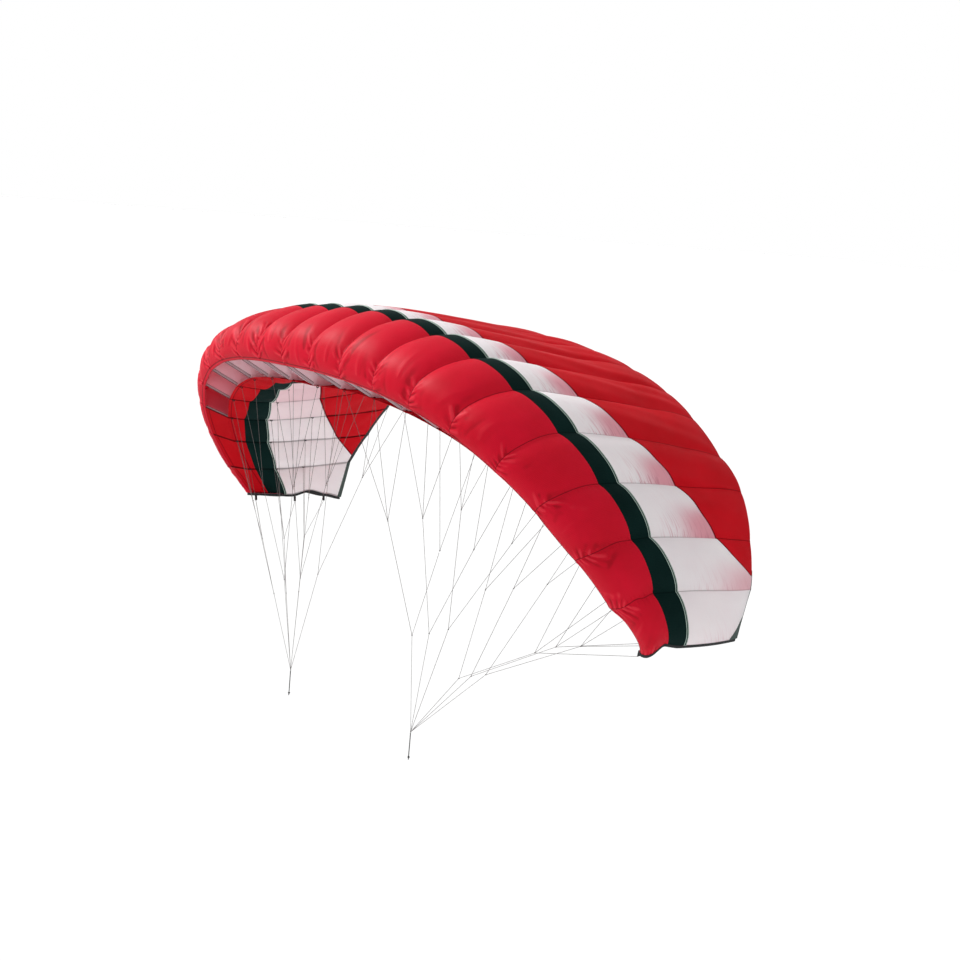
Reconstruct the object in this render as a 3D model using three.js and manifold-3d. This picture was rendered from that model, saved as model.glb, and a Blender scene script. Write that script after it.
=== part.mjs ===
// Trainer kite: an arched ram-air canopy of nineteen cells with its bridle, as it stands in the air.
// Millimetres. +X runs out to the right tip, +Y back along the chord, +Z up.
// The origin lies midway between the two tow points, where the lines of the bridle meet.
import * as THREE from "three";
import { mergeVertices } from "three/addons/utils/BufferGeometryUtils.js";
import Module from "manifold-3d";

const wasm = await Module();
wasm.setup();

// Plan of the canopy
const cellCount = 19;
const closedTipCells = 3;
const flatSpan = 4140;
const tipCellShare = 0.73;
const rootChord = 1405;
const tipChordShare = 0.4;
const chordTaperPower = 3.3;
const frontSweep = { squared: 340, fourth: 375 };

// Middle of the centre chord, seen from midway between the tow points
const rootMiddle = { back: 280, height: 1550 };
const towHalfSpacing = 540;

// Arch across the span: the turn at a tip, and how it builds up along the span
const tipTurn = THREE.MathUtils.degToRad(99.7);
const turnShare = { linear: 0.176, cubed: 0.946, fifth: -0.122 };
const pitch = { root: -0.1015, squared: 0.337, fourth: -0.297 };

// Wing section, in shares of the chord
const upperDepth = 0.269;
const lowerDepth = 0.182;
const sectionScale = 5;
const sectionCurve = { root: 0.2969, linear: -0.126, squared: -0.3516, cubed: 0.2843, fourth: -0.1036 };
const noseBack = 0.05;
const noseHandle = 0.05;
const lipHandle = 0.03;
const upperLip = new THREE.Vector2(0.028, -0.0164);
const lowerLipBack = 0.122;
const slopeStep = 0.001;
const ribTailBack = 0.985;

// Colour seams, as shares of the chord that change with the square of the span share
const seamsAbove = {
  stripeFront: { root: 0.197, squared: 0.052, fourth: 0.005 },
  stripeRear: { root: 0.2575, squared: 0.088, fourth: 0.056 },
  whiteRear: { root: 0.39, squared: 0.073, fourth: 0.638 },
};
const seamsBelow = {
  stripeFront: { root: 0.2385, squared: -0.072, fourth: 0 },
  stripeRear: { root: 0.288, squared: 0.0615, fourth: 0 },
  whiteRear: { root: 0.411, squared: 0.0885, fourth: 0.661 },
};
const whiteRunOutStart = 0.8;
const whiteMeetsTailCells = 1.25;
const rearPanelPoint = 5;
const spanSlack = 1e-6;

// How far a cell swells between its ribs, in shares of the cell's width
const swellAbove = { full: 0.115, openLip: 0.03, closedLip: 0.09, fadePower: 3 };
const swellBelow = { full: 0.08, openLip: 0.02, closedLip: 0.08, fadePower: 3 };
const lipFadeLength = 0.12;
const tailFadePower = 0.8;

// Cloth, tape and line
const clothThickness = 1.6;
const ribThickness = 1.2;
const ribInset = 0.4;
const seamGap = 0.3;
const lipGap = 1;
const tailTapeWidth = 24;
const bindingDepth = 12;
const bindingHalf = 2;
const tab = { width: 14, length: 26, thickness: 3 };
const lineRadius = 1.2;
const knotRadius = 3.4;

// Bridle: where lines leave the cloth, which ribs share a line, and how far down they gather
const bridleRows = [
  { name: "front", back: 0.14, tabBack: 0.06 },
  { name: "middle", back: 0.34, tabBack: 0.45 },
  { name: "rear", back: 0.565, tabBack: 0.81 },
];
const ribGroups = [[0, 1, 2], [3, 4], [5, 6], [7, 8, 9]];
const groupPairs = [[0, 1], [2, 3]];
const upperLineShare = 0.36;
const middleLineShare = 0.5;
const leader = { radius: 2.4, length: 110, knot: 6 };
const lineSides = 4;
const leaderSides = 8;

// Grid of the sheets
const columnsPerCell = 4;
const sideCells = 6;
const noseSteps = 5;
const stepsAbove = { front: 2, stripe: 1, white: 2, rear: 4 };
const stepsBelow = { front: 2, stripe: 1, white: 2, rear: 3 };
const nosePanelSteps = 2;
const archSamples = 400;

const cloth = (name, color, roughness) =>
  new THREE.MeshStandardMaterial({ name, color, roughness, metalness: 0 });
const materials = {
  red: cloth("red cloth", 0xd81c34, 0.55),
  rearRed: cloth("rear red cloth", 0xb51a22, 0.55),
  dark: cloth("dark green cloth", 0x0c2622, 0.6),
  white: cloth("white cloth", 0xe6dbe0, 0.55),
  rib: cloth("white rib cloth", 0xe9dfe2, 0.6),
  black: cloth("black tape", 0x121415, 0.7),
  tape: cloth("grey green tape", 0x33413d, 0.65),
  line: cloth("grey line", 0x57534f, 0.6),
};

const kite = new THREE.Group();
kite.name = "trainer_kite";

// The even part of a shape across the span
const acrossSpan = (rule, span) => rule.root + rule.squared * span ** 2 + rule.fourth * span ** 4;

// Span share of each rib, from 1 at the right tip to -1 at the left tip
function ribSpans() {
  const middle = (cellCount - 1) / 2;
  const widths = Array.from({ length: cellCount },
    (_, cell) => 1 - (1 - tipCellShare) * ((cell - middle) / middle) ** 2);
  const total = widths.reduce((sum, width) => sum + width, 0);
  const spans = [1];
  for (const width of widths) spans.push(spans.at(-1) - 2 * width / total);
  return spans;
}
const spans = ribSpans();
const cellWidth = (cell) => (spans[cell] - spans[cell + 1]) * flatSpan / 2;
const isClosed = (cell) => cell < closedTipCells || cell >= cellCount - closedTipCells;

const turnAt = (span) =>
  tipTurn * (turnShare.linear * span + turnShare.cubed * span ** 3 + turnShare.fifth * span ** 5);

// Centre line of the arch, added up in small steps from the middle to one tip
function archLine() {
  const line = [{ x: 0, z: 0 }];
  const step = flatSpan / 2 / archSamples;
  for (let i = 0; i < archSamples; i++) {
    const turn = turnAt((i + 0.5) / archSamples);
    const last = line.at(-1);
    line.push({ x: last.x + step * Math.cos(turn), z: last.z - step * Math.sin(turn) });
  }
  return line;
}
const arch = archLine();

// Frame of a rib: its nose, the direction of its chord and the direction out of the canopy
function station(span) {
  const size = Math.abs(span);
  const place = size * archSamples;
  const index = Math.min(Math.floor(place), archSamples - 1);
  const x = THREE.MathUtils.lerp(arch[index].x, arch[index + 1].x, place - index) * Math.sign(span);
  const z = THREE.MathUtils.lerp(arch[index].z, arch[index + 1].z, place - index);
  const turn = turnAt(span);
  const tilt = acrossSpan(pitch, span);
  const out = new THREE.Vector3(Math.sin(turn), 0, Math.cos(turn));
  const backward = new THREE.Vector3(0, 1, 0);
  const sweep = frontSweep.squared * span ** 2 + frontSweep.fourth * span ** 4;
  return {
    chord: rootChord * (1 - (1 - tipChordShare) * size ** chordTaperPower),
    nose: new THREE.Vector3(x, rootMiddle.back - rootChord / 2 + sweep, rootMiddle.height + z),
    along: backward.clone().multiplyScalar(Math.cos(tilt)).addScaledVector(out, -Math.sin(tilt)),
    out: out.clone().multiplyScalar(Math.cos(tilt)).addScaledVector(backward, Math.sin(tilt)),
    side: new THREE.Vector3(Math.cos(turn), 0, -Math.sin(turn)),
  };
}
const ribs = spans.map(station);

// Half thickness of the section at a share of the chord, for a depth of 1
function sectionHeight(back) {
  const curve = sectionCurve;
  return sectionScale * (curve.root * Math.sqrt(back) + curve.linear * back + curve.squared * back ** 2
    + curve.cubed * back ** 3 + curve.fourth * back ** 4);
}
const upperPoint = (back) => new THREE.Vector2(back, upperDepth * sectionHeight(back));
const lowerPoint = (back) => new THREE.Vector2(back, -lowerDepth * sectionHeight(back));
const lowerLip = lowerPoint(lowerLipBack);

// The nose leaves the upper curve, turns down and ends at the upper lip, in line with the lower lip
function noseCurve() {
  const top = upperPoint(noseBack);
  const forward = top.clone().sub(upperPoint(noseBack + slopeStep)).normalize();
  const towardsLowerLip = lowerLip.clone().sub(upperLip).normalize();
  return new THREE.CubicBezierCurve(
    upperLip,
    upperLip.clone().addScaledVector(towardsLowerLip, -lipHandle),
    top.clone().addScaledVector(forward, noseHandle),
    top);
}
const nose = noseCurve();

// White runs out to the tail near each tip; this is the span share where the two meet
const meetCell = Math.floor(whiteMeetsTailCells);
const meetSpan = THREE.MathUtils.lerp(spans[meetCell], spans[meetCell + 1], whiteMeetsTailCells - meetCell);

function whiteRearSeam(rule, span, chord, end) {
  const size = Math.abs(span);
  if (size > meetSpan + spanSlack) return end;
  const runOut = Math.max(0, (size - whiteRunOutStart) / (meetSpan - whiteRunOutStart)) ** 2;
  const seam = acrossSpan(rule, size) + (end - acrossSpan(rule, meetSpan)) * runOut;
  return Math.min(seam, end - rearPanelPoint / chord);
}

// Rows of section points between named shares of the chord
const rowsBetween = (from, to, steps) =>
  Array.from({ length: steps }, (_, i) => THREE.MathUtils.lerp(from, to, (i + 1) / steps));

function rowsAbove(span, chord) {
  const front = acrossSpan(seamsAbove.stripeFront, span);
  const rear = acrossSpan(seamsAbove.stripeRear, span);
  const white = whiteRearSeam(seamsAbove.whiteRear, span, chord, 1);
  const noseRows = Array.from({ length: noseSteps + 1 }, (_, i) => nose.getPoint(i / noseSteps));
  const backs = [
    ...rowsBetween(noseBack, front, stepsAbove.front),
    ...rowsBetween(front, rear, stepsAbove.stripe),
    ...rowsBetween(rear, white, stepsAbove.white),
    ...rowsBetween(white, 1, stepsAbove.rear),
  ];
  return [...noseRows, ...backs.map(upperPoint)];
}

function rowsBelow(span, chord) {
  const front = acrossSpan(seamsBelow.stripeFront, span);
  const rear = acrossSpan(seamsBelow.stripeRear, span);
  const tape = 1 - tailTapeWidth / chord;
  const white = whiteRearSeam(seamsBelow.whiteRear, span, chord, tape);
  const backs = [
    lowerLipBack,
    ...rowsBetween(lowerLipBack, front, stepsBelow.front),
    ...rowsBetween(front, rear, stepsBelow.stripe),
    ...rowsBetween(rear, white, stepsBelow.white),
    ...rowsBetween(white, tape, stepsBelow.rear),
    1,
  ];
  return backs.map(lowerPoint);
}

const rowsOfNosePanel = () =>
  Array.from({ length: nosePanelSteps + 1 }, (_, i) => upperLip.clone().lerp(lowerLip, i / nosePanelSteps));

// Swelling of a cell at one point of the section
function swellShare(rule, cell, point, fromLip) {
  const lip = isClosed(cell) ? rule.closedLip : rule.openLip;
  const fade = THREE.MathUtils.smoothstep(fromLip, 0, lipFadeLength);
  const full = rule.full * Math.max(0, 1 - point.x ** rule.fadePower) ** tailFadePower;
  return THREE.MathUtils.lerp(lip, full, fade);
}

const placeOnRib = (rib, point) => rib.nose.clone()
  .addScaledVector(rib.along, point.x * rib.chord)
  .addScaledVector(rib.out, point.y * rib.chord);

// One column of a skin, part of the way across a cell
function skinColumn(cell, across, rowsAt, rule, lip, face) {
  const span = THREE.MathUtils.lerp(spans[cell], spans[cell + 1], across);
  const chord = THREE.MathUtils.lerp(ribs[cell].chord, ribs[cell + 1].chord, across);
  const rows = rowsAt(span, chord);
  const bow = 4 * across * (1 - across) * cellWidth(cell);
  return rows.map((point, i) => {
    const before = rows[Math.max(i - 1, 0)];
    const after = rows[Math.min(i + 1, rows.length - 1)];
    const run = after.clone().sub(before).normalize();
    const outward = new THREE.Vector2(-run.y, run.x).multiplyScalar(face);
    const swell = bow * swellShare(rule, cell, point, point.distanceTo(lip));
    const here = placeOnRib(ribs[cell], point).lerp(placeOnRib(ribs[cell + 1], point), across);
    for (const [rib, share] of [[ribs[cell], 1 - across], [ribs[cell + 1], across]]) {
      here.addScaledVector(rib.along, outward.x * swell * share);
      here.addScaledVector(rib.out, outward.y * swell * share);
    }
    return here;
  });
}

// All columns of a skin between two ribs, each a row of points from the lip to the tail
function skinGrid(firstRib, lastRib, rowsAt, rule, lip, face) {
  const grid = [];
  for (let cell = firstRib; cell < lastRib; cell++) {
    for (let i = 0; i < columnsPerCell; i++) {
      grid.push(skinColumn(cell, i / columnsPerCell, rowsAt, rule, lip, face));
    }
  }
  grid.push(skinColumn(lastRib - 1, 1, rowsAt, rule, lip, face));
  return grid;
}

// Normals of a grid, each the sum over the four fields around its point
function gridNormals(grid, face) {
  const normals = grid.map((column) => column.map(() => new THREE.Vector3()));
  for (let c = 0; c + 1 < grid.length; c++) {
    for (let r = 0; r + 1 < grid[c].length; r++) {
      const rise = grid[c][r + 1].clone().sub(grid[c + 1][r]);
      const cross = grid[c + 1][r + 1].clone().sub(grid[c][r]);
      const field = rise.cross(cross).multiplyScalar(face);
      for (const [i, j] of [[c, r], [c + 1, r], [c, r + 1], [c + 1, r + 1]]) normals[i][j].add(field);
    }
  }
  return normals.map((column) => column.map((normal) => normal.normalize()));
}

// Closed sheet between an inner and an outer grid of points
function sheetGeometry(inner, outer, face) {
  const columns = inner.length;
  const rows = inner[0].length;
  const points = [...inner.flat(), ...outer.flat()];
  const low = (c, r) => c * rows + r;
  const high = (c, r) => columns * rows + low(c, r);
  const faces = [];
  const quad = (a, b, c, d) => faces.push(a, b, c, a, c, d);
  for (let c = 0; c + 1 < columns; c++) {
    for (let r = 0; r + 1 < rows; r++) {
      quad(high(c, r), high(c, r + 1), high(c + 1, r + 1), high(c + 1, r));
      quad(low(c, r), low(c + 1, r), low(c + 1, r + 1), low(c, r + 1));
    }
    quad(low(c, 0), high(c, 0), high(c + 1, 0), low(c + 1, 0));
    quad(low(c, rows - 1), low(c + 1, rows - 1), high(c + 1, rows - 1), high(c, rows - 1));
  }
  for (let r = 0; r + 1 < rows; r++) {
    quad(low(0, r), low(0, r + 1), high(0, r + 1), high(0, r));
    quad(low(columns - 1, r), high(columns - 1, r), high(columns - 1, r + 1), low(columns - 1, r + 1));
  }
  if (face < 0) faces.reverse();
  const geometry = new THREE.BufferGeometry().setFromPoints(points);
  geometry.setIndex(faces);
  return geometry;
}

function addPiece(name, geometry, material) {
  geometry.computeVertexNormals();
  const mesh = new THREE.Mesh(geometry, material);
  mesh.name = name;
  kite.add(mesh);
  return mesh;
}

// A band of a skin between two rows and two columns, kept clear of the bands beside it
function addBand(name, skin, rows, columns, material, gaps) {
  const inner = [];
  const outer = [];
  for (let c = columns.from; c <= columns.to; c++) {
    const normals = skin.normals[c].slice(rows.from, rows.to + 1);
    const points = skin.grid[c].slice(rows.from, rows.to + 1).map((point) => point.clone());
    const sideStep = { [columns.from]: [1, gaps.first], [columns.to]: [-1, gaps.last] }[c];
    if (sideStep && sideStep[1]) {
      const beside = skin.grid[c + sideStep[0]].slice(rows.from, rows.to + 1);
      points.forEach((point, i) => point.add(beside[i].clone().sub(point).setLength(sideStep[1])));
    }
    const last = points.length - 1;
    const frontStep = points[1].clone().sub(points[0]).setLength(gaps.front);
    const rearStep = points[last - 1].clone().sub(points[last]).setLength(gaps.rear);
    points[0].add(frontStep);
    points[last].add(rearStep);
    inner.push(points.map((point, i) => point.clone().addScaledVector(normals[i], seamGap)));
    outer.push(points.map((point, i) => point.clone().addScaledVector(normals[i], seamGap + clothThickness)));
  }
  addPiece(name, sheetGeometry(inner, outer, skin.face), material);
}

// Skins
const halfGap = seamGap / 2;
const betweenBands = { front: halfGap, rear: halfGap };
const lastColumn = cellCount * columnsPerCell;
const meetColumn = Math.round(whiteMeetsTailCells * columnsPerCell);
const wholeSpan = { from: 0, to: lastColumn };
const rearSpan = { from: meetColumn, to: lastColumn - meetColumn };

// Lengths of cloth across the span, parted at the ribs that end them
const wholeLength = [{ ending: "", from: 0, to: lastColumn }];
const threeLengths = [
  { ending: "_right", from: 0, to: sideCells * columnsPerCell },
  { ending: "_middle", from: sideCells * columnsPerCell, to: lastColumn - sideCells * columnsPerCell },
  { ending: "_left", from: lastColumn - sideCells * columnsPerCell, to: lastColumn },
];

function makeSkin(firstRib, lastRib, rowsAt, rule, lip, face) {
  const grid = skinGrid(firstRib, lastRib, rowsAt, rule, lip, face);
  const normals = gridNormals(grid, face);
  for (const [column, rib] of [[normals[0], ribs[firstRib]], [normals.at(-1), ribs[lastRib]]]) {
    column.forEach((normal) => normal.projectOnPlane(rib.side).normalize());
  }
  return { grid, face, normals };
}
const upperSkin = makeSkin(0, cellCount, rowsAbove, swellAbove, upperLip, 1);
const lowerSkin = makeSkin(0, cellCount, rowsBelow, swellBelow, lowerLip, -1);

function addSkinBands(prefix, skin, steps, leadRows, lengths) {
  const stripeRow = leadRows + steps.front;
  const whiteRow = stripeRow + steps.stripe;
  const rearRow = whiteRow + steps.white;
  const tailRow = rearRow + steps.rear;
  const lipEdge = { front: lipGap / 2, rear: halfGap };
  const bands = [
    { name: "front_red", from: 0, to: stripeRow, span: wholeSpan, material: materials.red, edges: lipEdge },
    { name: "stripe_dark", from: stripeRow, to: whiteRow, span: wholeSpan, material: materials.dark },
    { name: "band_white", from: whiteRow, to: rearRow, span: wholeSpan, material: materials.white },
    { name: "rear_red", from: rearRow, to: tailRow, span: rearSpan, material: materials.rearRed },
  ];
  for (const { name, from, to, span, material, edges } of bands) {
    for (const length of lengths[name]) {
      const columns = { from: Math.max(length.from, span.from), to: Math.min(length.to, span.to) };
      const first = columns.from > span.from ? halfGap : 0;
      const last = columns.to < span.to ? halfGap : 0;
      const gaps = { ...(edges ?? betweenBands), first, last };
      addBand(prefix + "_" + name + length.ending, skin, { from, to }, columns, material, gaps);
    }
  }
}
addSkinBands("upper", upperSkin, stepsAbove, noseSteps, {
  front_red: threeLengths, stripe_dark: threeLengths, band_white: threeLengths, rear_red: threeLengths,
});
addSkinBands("lower", lowerSkin, stepsBelow, 0, {
  front_red: threeLengths, stripe_dark: wholeLength, band_white: wholeLength, rear_red: wholeLength,
});

// Nose panels that close the three cells at each tip
function addNosePanel(name, firstRib, lastRib) {
  const rule = { ...swellAbove, full: swellAbove.closedLip, fadePower: Infinity };
  const skin = makeSkin(firstRib, lastRib, rowsOfNosePanel, rule, upperLip, -1);
  const columns = { from: 0, to: skin.grid.length - 1 };
  const edges = { front: lipGap / 2, rear: lipGap / 2 };
  addBand(name, skin, { from: 0, to: nosePanelSteps }, columns, materials.red, edges);
}
addNosePanel("nose_panel_right", 0, closedTipCells);
addNosePanel("nose_panel_left", cellCount - closedTipCells, cellCount);

// Rows of points that end on the chord a little ahead of the tail
function cutAtTail(rows) {
  const behind = rows.findIndex((point) => point.x >= ribTailBack);
  const share = (ribTailBack - rows[behind - 1].x) / (rows[behind].x - rows[behind - 1].x);
  return [...rows.slice(0, behind), rows[behind - 1].clone().lerp(rows[behind], share)];
}

// Outline of a rib from its tail, over the top, down the taped front edge and back along the bottom
function ribOutline(rib) {
  const span = spans[rib];
  const chord = ribs[rib].chord;
  const top = cutAtTail(rowsAbove(span, chord));
  const bottom = cutAtTail(rowsBelow(span, chord));
  const outline = [...top.reverse(), ...bottom]
    .map((point) => point.clone().multiplyScalar(chord))
    .filter((point, i, all) => point.distanceTo(all.at(i - 1)) > seamGap);
  return outline.map((point, i) => {
    const before = outline.at(i - 1);
    const after = outline[(i + 1) % outline.length];
    const run = after.clone().sub(before).normalize();
    return point.clone().add(new THREE.Vector2(-run.y, run.x).multiplyScalar(ribInset));
  });
}

function addRib(rib) {
  const shape = new THREE.Shape(ribOutline(rib));
  const geometry = new THREE.ExtrudeGeometry(shape, { depth: ribThickness, bevelEnabled: false, steps: 1 });
  geometry.translate(0, 0, -ribThickness / 2);
  const welded = mergeVertices(geometry.deleteAttribute("uv").deleteAttribute("normal"));
  const mesh = addPiece("rib_" + String(rib).padStart(2, "0"), welded, materials.rib);
  const { along, out, nose: origin } = ribs[rib];
  const across = along.clone().cross(out);
  mesh.quaternion.setFromRotationMatrix(new THREE.Matrix4().makeBasis(along, out, across));
  mesh.position.copy(origin);
}
for (let rib = 0; rib <= cellCount; rib++) addRib(rib);

// Tape along the tail of the lower skin: black, and grey green at each tip cell
const tapeRow = lowerSkin.grid[0].length - 2;
const tapeRows = { from: tapeRow, to: tapeRow + 1 };
const tapeSpans = [
  { name: "tail_corner_tape_right", from: 0, to: columnsPerCell, material: materials.tape },
  { name: "tail_tape", from: columnsPerCell, to: lastColumn - columnsPerCell, material: materials.black },
  {
    name: "tail_corner_tape_left", from: lastColumn - columnsPerCell, to: lastColumn,
    material: materials.tape,
  },
];
for (const { name, from, to, material } of tapeSpans) {
  const ends = { first: from > 0 ? halfGap : 0, last: to < lastColumn ? halfGap : 0 };
  addBand(name, lowerSkin, tapeRows, { from, to }, material, { ...betweenBands, ...ends });
}

// Black binding around the edge of each tip rib, just outside it
function addTipBinding(name, rib, side) {
  const outline = ribOutline(rib);
  const { along, out, side: sideways, nose: origin } = ribs[rib];
  const place = (point, depth) => origin.clone()
    .addScaledVector(along, point.x)
    .addScaledVector(out, point.y)
    .addScaledVector(sideways, depth * side);
  const near = ribThickness / 2 + seamGap;
  const inner = [];
  const outer = [];
  const last = outline.length - 1;
  for (let i = 0; i <= last; i++) {
    const run = outline[Math.min(i + 1, last)].clone().sub(outline[Math.max(i - 1, 0)]).normalize();
    const outward = new THREE.Vector2(run.y, -run.x).multiplyScalar(bindingHalf);
    const inside = outline[i].clone().sub(outward);
    const outside = outline[i].clone().add(outward);
    inner.push([place(inside, near), place(inside, near + bindingDepth)]);
    outer.push([place(outside, near), place(outside, near + bindingDepth)]);
  }
  addPiece(name, sheetGeometry(inner, outer, -side), materials.black);
}
addTipBinding("tip_binding_right", 0, 1);
addTipBinding("tip_binding_left", cellCount, -1);

// Point on the lower edge of a rib, on its taped front edge where it is ahead of the lower lip
function lowerEdgePoint(back) {
  if (back >= lowerLipBack) return lowerPoint(back);
  const share = (back - upperLip.x) / (lowerLip.x - upperLip.x);
  return upperLip.clone().lerp(lowerLip, share);
}

// Three webbing tabs hang from each tip; each returns where its line is tied
function addTipTab(name, rib, side, back) {
  const { along, out, side: sideways } = ribs[rib];
  const down = sideways.clone().multiplyScalar(side);
  const root = placeOnRib(ribs[rib], lowerEdgePoint(back));
  const gap = ribThickness / 2 + seamGap + bindingDepth + seamGap;
  const geometry = new THREE.BoxGeometry(tab.width, tab.thickness, tab.length);
  const tip = new THREE.Vector3(0, 0, tab.length / 2);
  const mesh = addPiece(name, geometry, materials.black);
  const basis = new THREE.Matrix4().makeBasis(along, down.clone().cross(along).normalize(), down);
  mesh.quaternion.setFromRotationMatrix(basis);
  mesh.position.copy(root).addScaledVector(down, gap + tab.length / 2);
  mesh.updateMatrixWorld();
  return tip.applyMatrix4(mesh.matrixWorld).addScaledVector(down, lineRadius + seamGap);
}

// Where a line leaves the lower skin at a rib
function lineRoot(rib, back) {
  const here = placeOnRib(ribs[rib], lowerPoint(back));
  const clear = seamGap + clothThickness + lineRadius + seamGap;
  return here.addScaledVector(ribs[rib].out, -clear);
}

const toManifold = (geometry) => {
  const bare = geometry.clone();
  bare.deleteAttribute("normal");
  bare.deleteAttribute("uv");
  const welded = mergeVertices(bare);
  return new wasm.Manifold(new wasm.Mesh({
    numProp: 3,
    vertProperties: new Float32Array(welded.attributes.position.array),
    triVerts: new Uint32Array(welded.index.array),
  }));
};

function fromManifold(solid) {
  const mesh = solid.getMesh();
  const geometry = new THREE.BufferGeometry();
  geometry.setAttribute("position", new THREE.BufferAttribute(new Float32Array(mesh.vertProperties), 3));
  geometry.setIndex(new THREE.BufferAttribute(new Uint32Array(mesh.triVerts), 1));
  return geometry;
}

// A taut line of square section between two points
function strand(from, to) {
  const run = to.clone().sub(from);
  const geometry = new THREE.CylinderGeometry(lineRadius, lineRadius, run.length(), lineSides, 1);
  geometry.applyQuaternion(new THREE.Quaternion().setFromUnitVectors(
    new THREE.Vector3(0, 1, 0), run.clone().normalize()));
  geometry.translate(...from.clone().add(to).multiplyScalar(0.5).toArray());
  return toManifold(geometry);
}

function knot(at) {
  const geometry = new THREE.OctahedronGeometry(knotRadius);
  geometry.translate(at.x, at.y, at.z);
  return toManifold(geometry);
}

const middleOf = (points) => points
  .reduce((sum, point) => sum.add(point), new THREE.Vector3())
  .divideScalar(points.length);

// One half of the bridle: short lines gather in knots, those in two more, and all meet at the tow point
function addBridle(name, side, tabEnds) {
  const tow = new THREE.Vector3(towHalfSpacing * side, 0, 0);
  const pieces = [knot(tow)];
  bridleRows.forEach((row, rowIndex) => {
    const rootOf = (rib) => {
      if (rib === 0) return tabEnds[rowIndex];
      return lineRoot(side > 0 ? rib : cellCount - rib, row.back);
    };
    const groupKnots = ribGroups.map((group) => {
      const roots = group.map(rootOf);
      const joint = middleOf(roots).lerp(tow, upperLineShare);
      for (const root of roots) pieces.push(strand(root, joint));
      pieces.push(knot(joint));
      return joint;
    });
    for (const pair of groupPairs) {
      const ends = pair.map((index) => groupKnots[index]);
      const joint = middleOf(ends).lerp(tow, middleLineShare);
      for (const end of ends) pieces.push(strand(end, joint));
      pieces.push(knot(joint), strand(joint, tow));
    }
  });
  const solid = pieces.reduce((sum, piece) => sum.add(piece));
  addPiece(name, fromManifold(solid), materials.line);
}

// Leader with a stopper knot under each tow point, where a flying line is tied on
function addLeader(name, side) {
  const top = -knotRadius - seamGap;
  const profile = [
    [0, 0], [leader.radius, 0], [leader.radius, -leader.length + leader.knot],
    [leader.knot, -leader.length], [leader.knot, -leader.length - leader.knot],
    [leader.radius, -leader.length - 2 * leader.knot], [0, -leader.length - 2 * leader.knot],
  ].map(([radius, height]) => new THREE.Vector2(radius, height)).reverse();
  const geometry = new THREE.LatheGeometry(profile, leaderSides).rotateX(Math.PI / 2);
  const welded = mergeVertices(geometry.deleteAttribute("uv").deleteAttribute("normal"));
  const mesh = addPiece(name, welded, materials.black);
  mesh.position.set(towHalfSpacing * side, 0, top);
}

for (const [word, side, rib] of [["right", 1, 0], ["left", -1, cellCount]]) {
  const tabEnds = bridleRows.map((row) =>
    addTipTab("tip_tab_" + word + "_" + row.name, rib, side, row.tabBack));
  addBridle("bridle_" + word, side, tabEnds);
  addLeader("leader_" + word, side);
}

export default kite;
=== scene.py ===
# Looks of a trainer kite: an inflated ram-air canopy of nineteen cells with its tapes, ribs and bridle.
# Metres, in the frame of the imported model: +X to the right tip, +Y back along the chord, +Z up.
import math

import bpy
import numpy as np
from mathutils import Euler, Matrix, Vector


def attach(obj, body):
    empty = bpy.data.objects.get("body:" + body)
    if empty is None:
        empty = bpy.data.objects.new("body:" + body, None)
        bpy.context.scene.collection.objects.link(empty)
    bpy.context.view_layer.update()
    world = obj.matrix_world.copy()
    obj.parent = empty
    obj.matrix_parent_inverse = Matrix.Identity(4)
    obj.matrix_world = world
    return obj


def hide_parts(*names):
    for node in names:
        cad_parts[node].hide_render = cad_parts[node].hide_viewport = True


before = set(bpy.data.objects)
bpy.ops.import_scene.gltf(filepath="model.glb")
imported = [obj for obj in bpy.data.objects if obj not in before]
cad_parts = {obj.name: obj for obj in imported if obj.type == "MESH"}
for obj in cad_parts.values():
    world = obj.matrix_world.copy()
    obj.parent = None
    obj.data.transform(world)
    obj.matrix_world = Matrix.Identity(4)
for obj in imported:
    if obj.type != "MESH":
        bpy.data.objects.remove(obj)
bpy.ops.object.select_all(action="DESELECT")
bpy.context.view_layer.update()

# Plan of the canopy
CELLS = 19
CLOSED_TIP_CELLS = 3
FLAT_SPAN = 4.14
TIP_CELL_SHARE = 0.73
ROOT_CHORD = 1.405
TIP_CHORD_SHARE = 0.4
CHORD_TAPER_POWER = 3.3
FRONT_SWEEP = {"root": 0, "squared": 0.340, "fourth": 0.375}
ROOT_MIDDLE = {"back": 0.280, "height": 1.550}
TOW_HALF_SPACING = 0.540

# Arch across the span
TIP_TURN = math.radians(99.7)
TURN_SHARE = {"linear": 0.176, "cubed": 0.946, "fifth": -0.122}
PITCH = {"root": -0.1015, "squared": 0.337, "fourth": -0.297}
ARCH_SAMPLES = 400

# Wing section, in shares of the chord
UPPER_DEPTH = 0.269
LOWER_DEPTH = 0.182
SECTION_SCALE = 5
SECTION_CURVE = {"root": 0.2969, "linear": -0.126, "squared": -0.3516, "cubed": 0.2843, "fourth": -0.1036}
NOSE_BACK = 0.05
NOSE_HANDLE = 0.05
LIP_HANDLE = 0.03
SLOPE_STEP = 0.001
UPPER_LIP = np.array((0.028, -0.0164))
LOWER_LIP_BACK = 0.122
RIB_TAIL_BACK = 0.985

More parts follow.
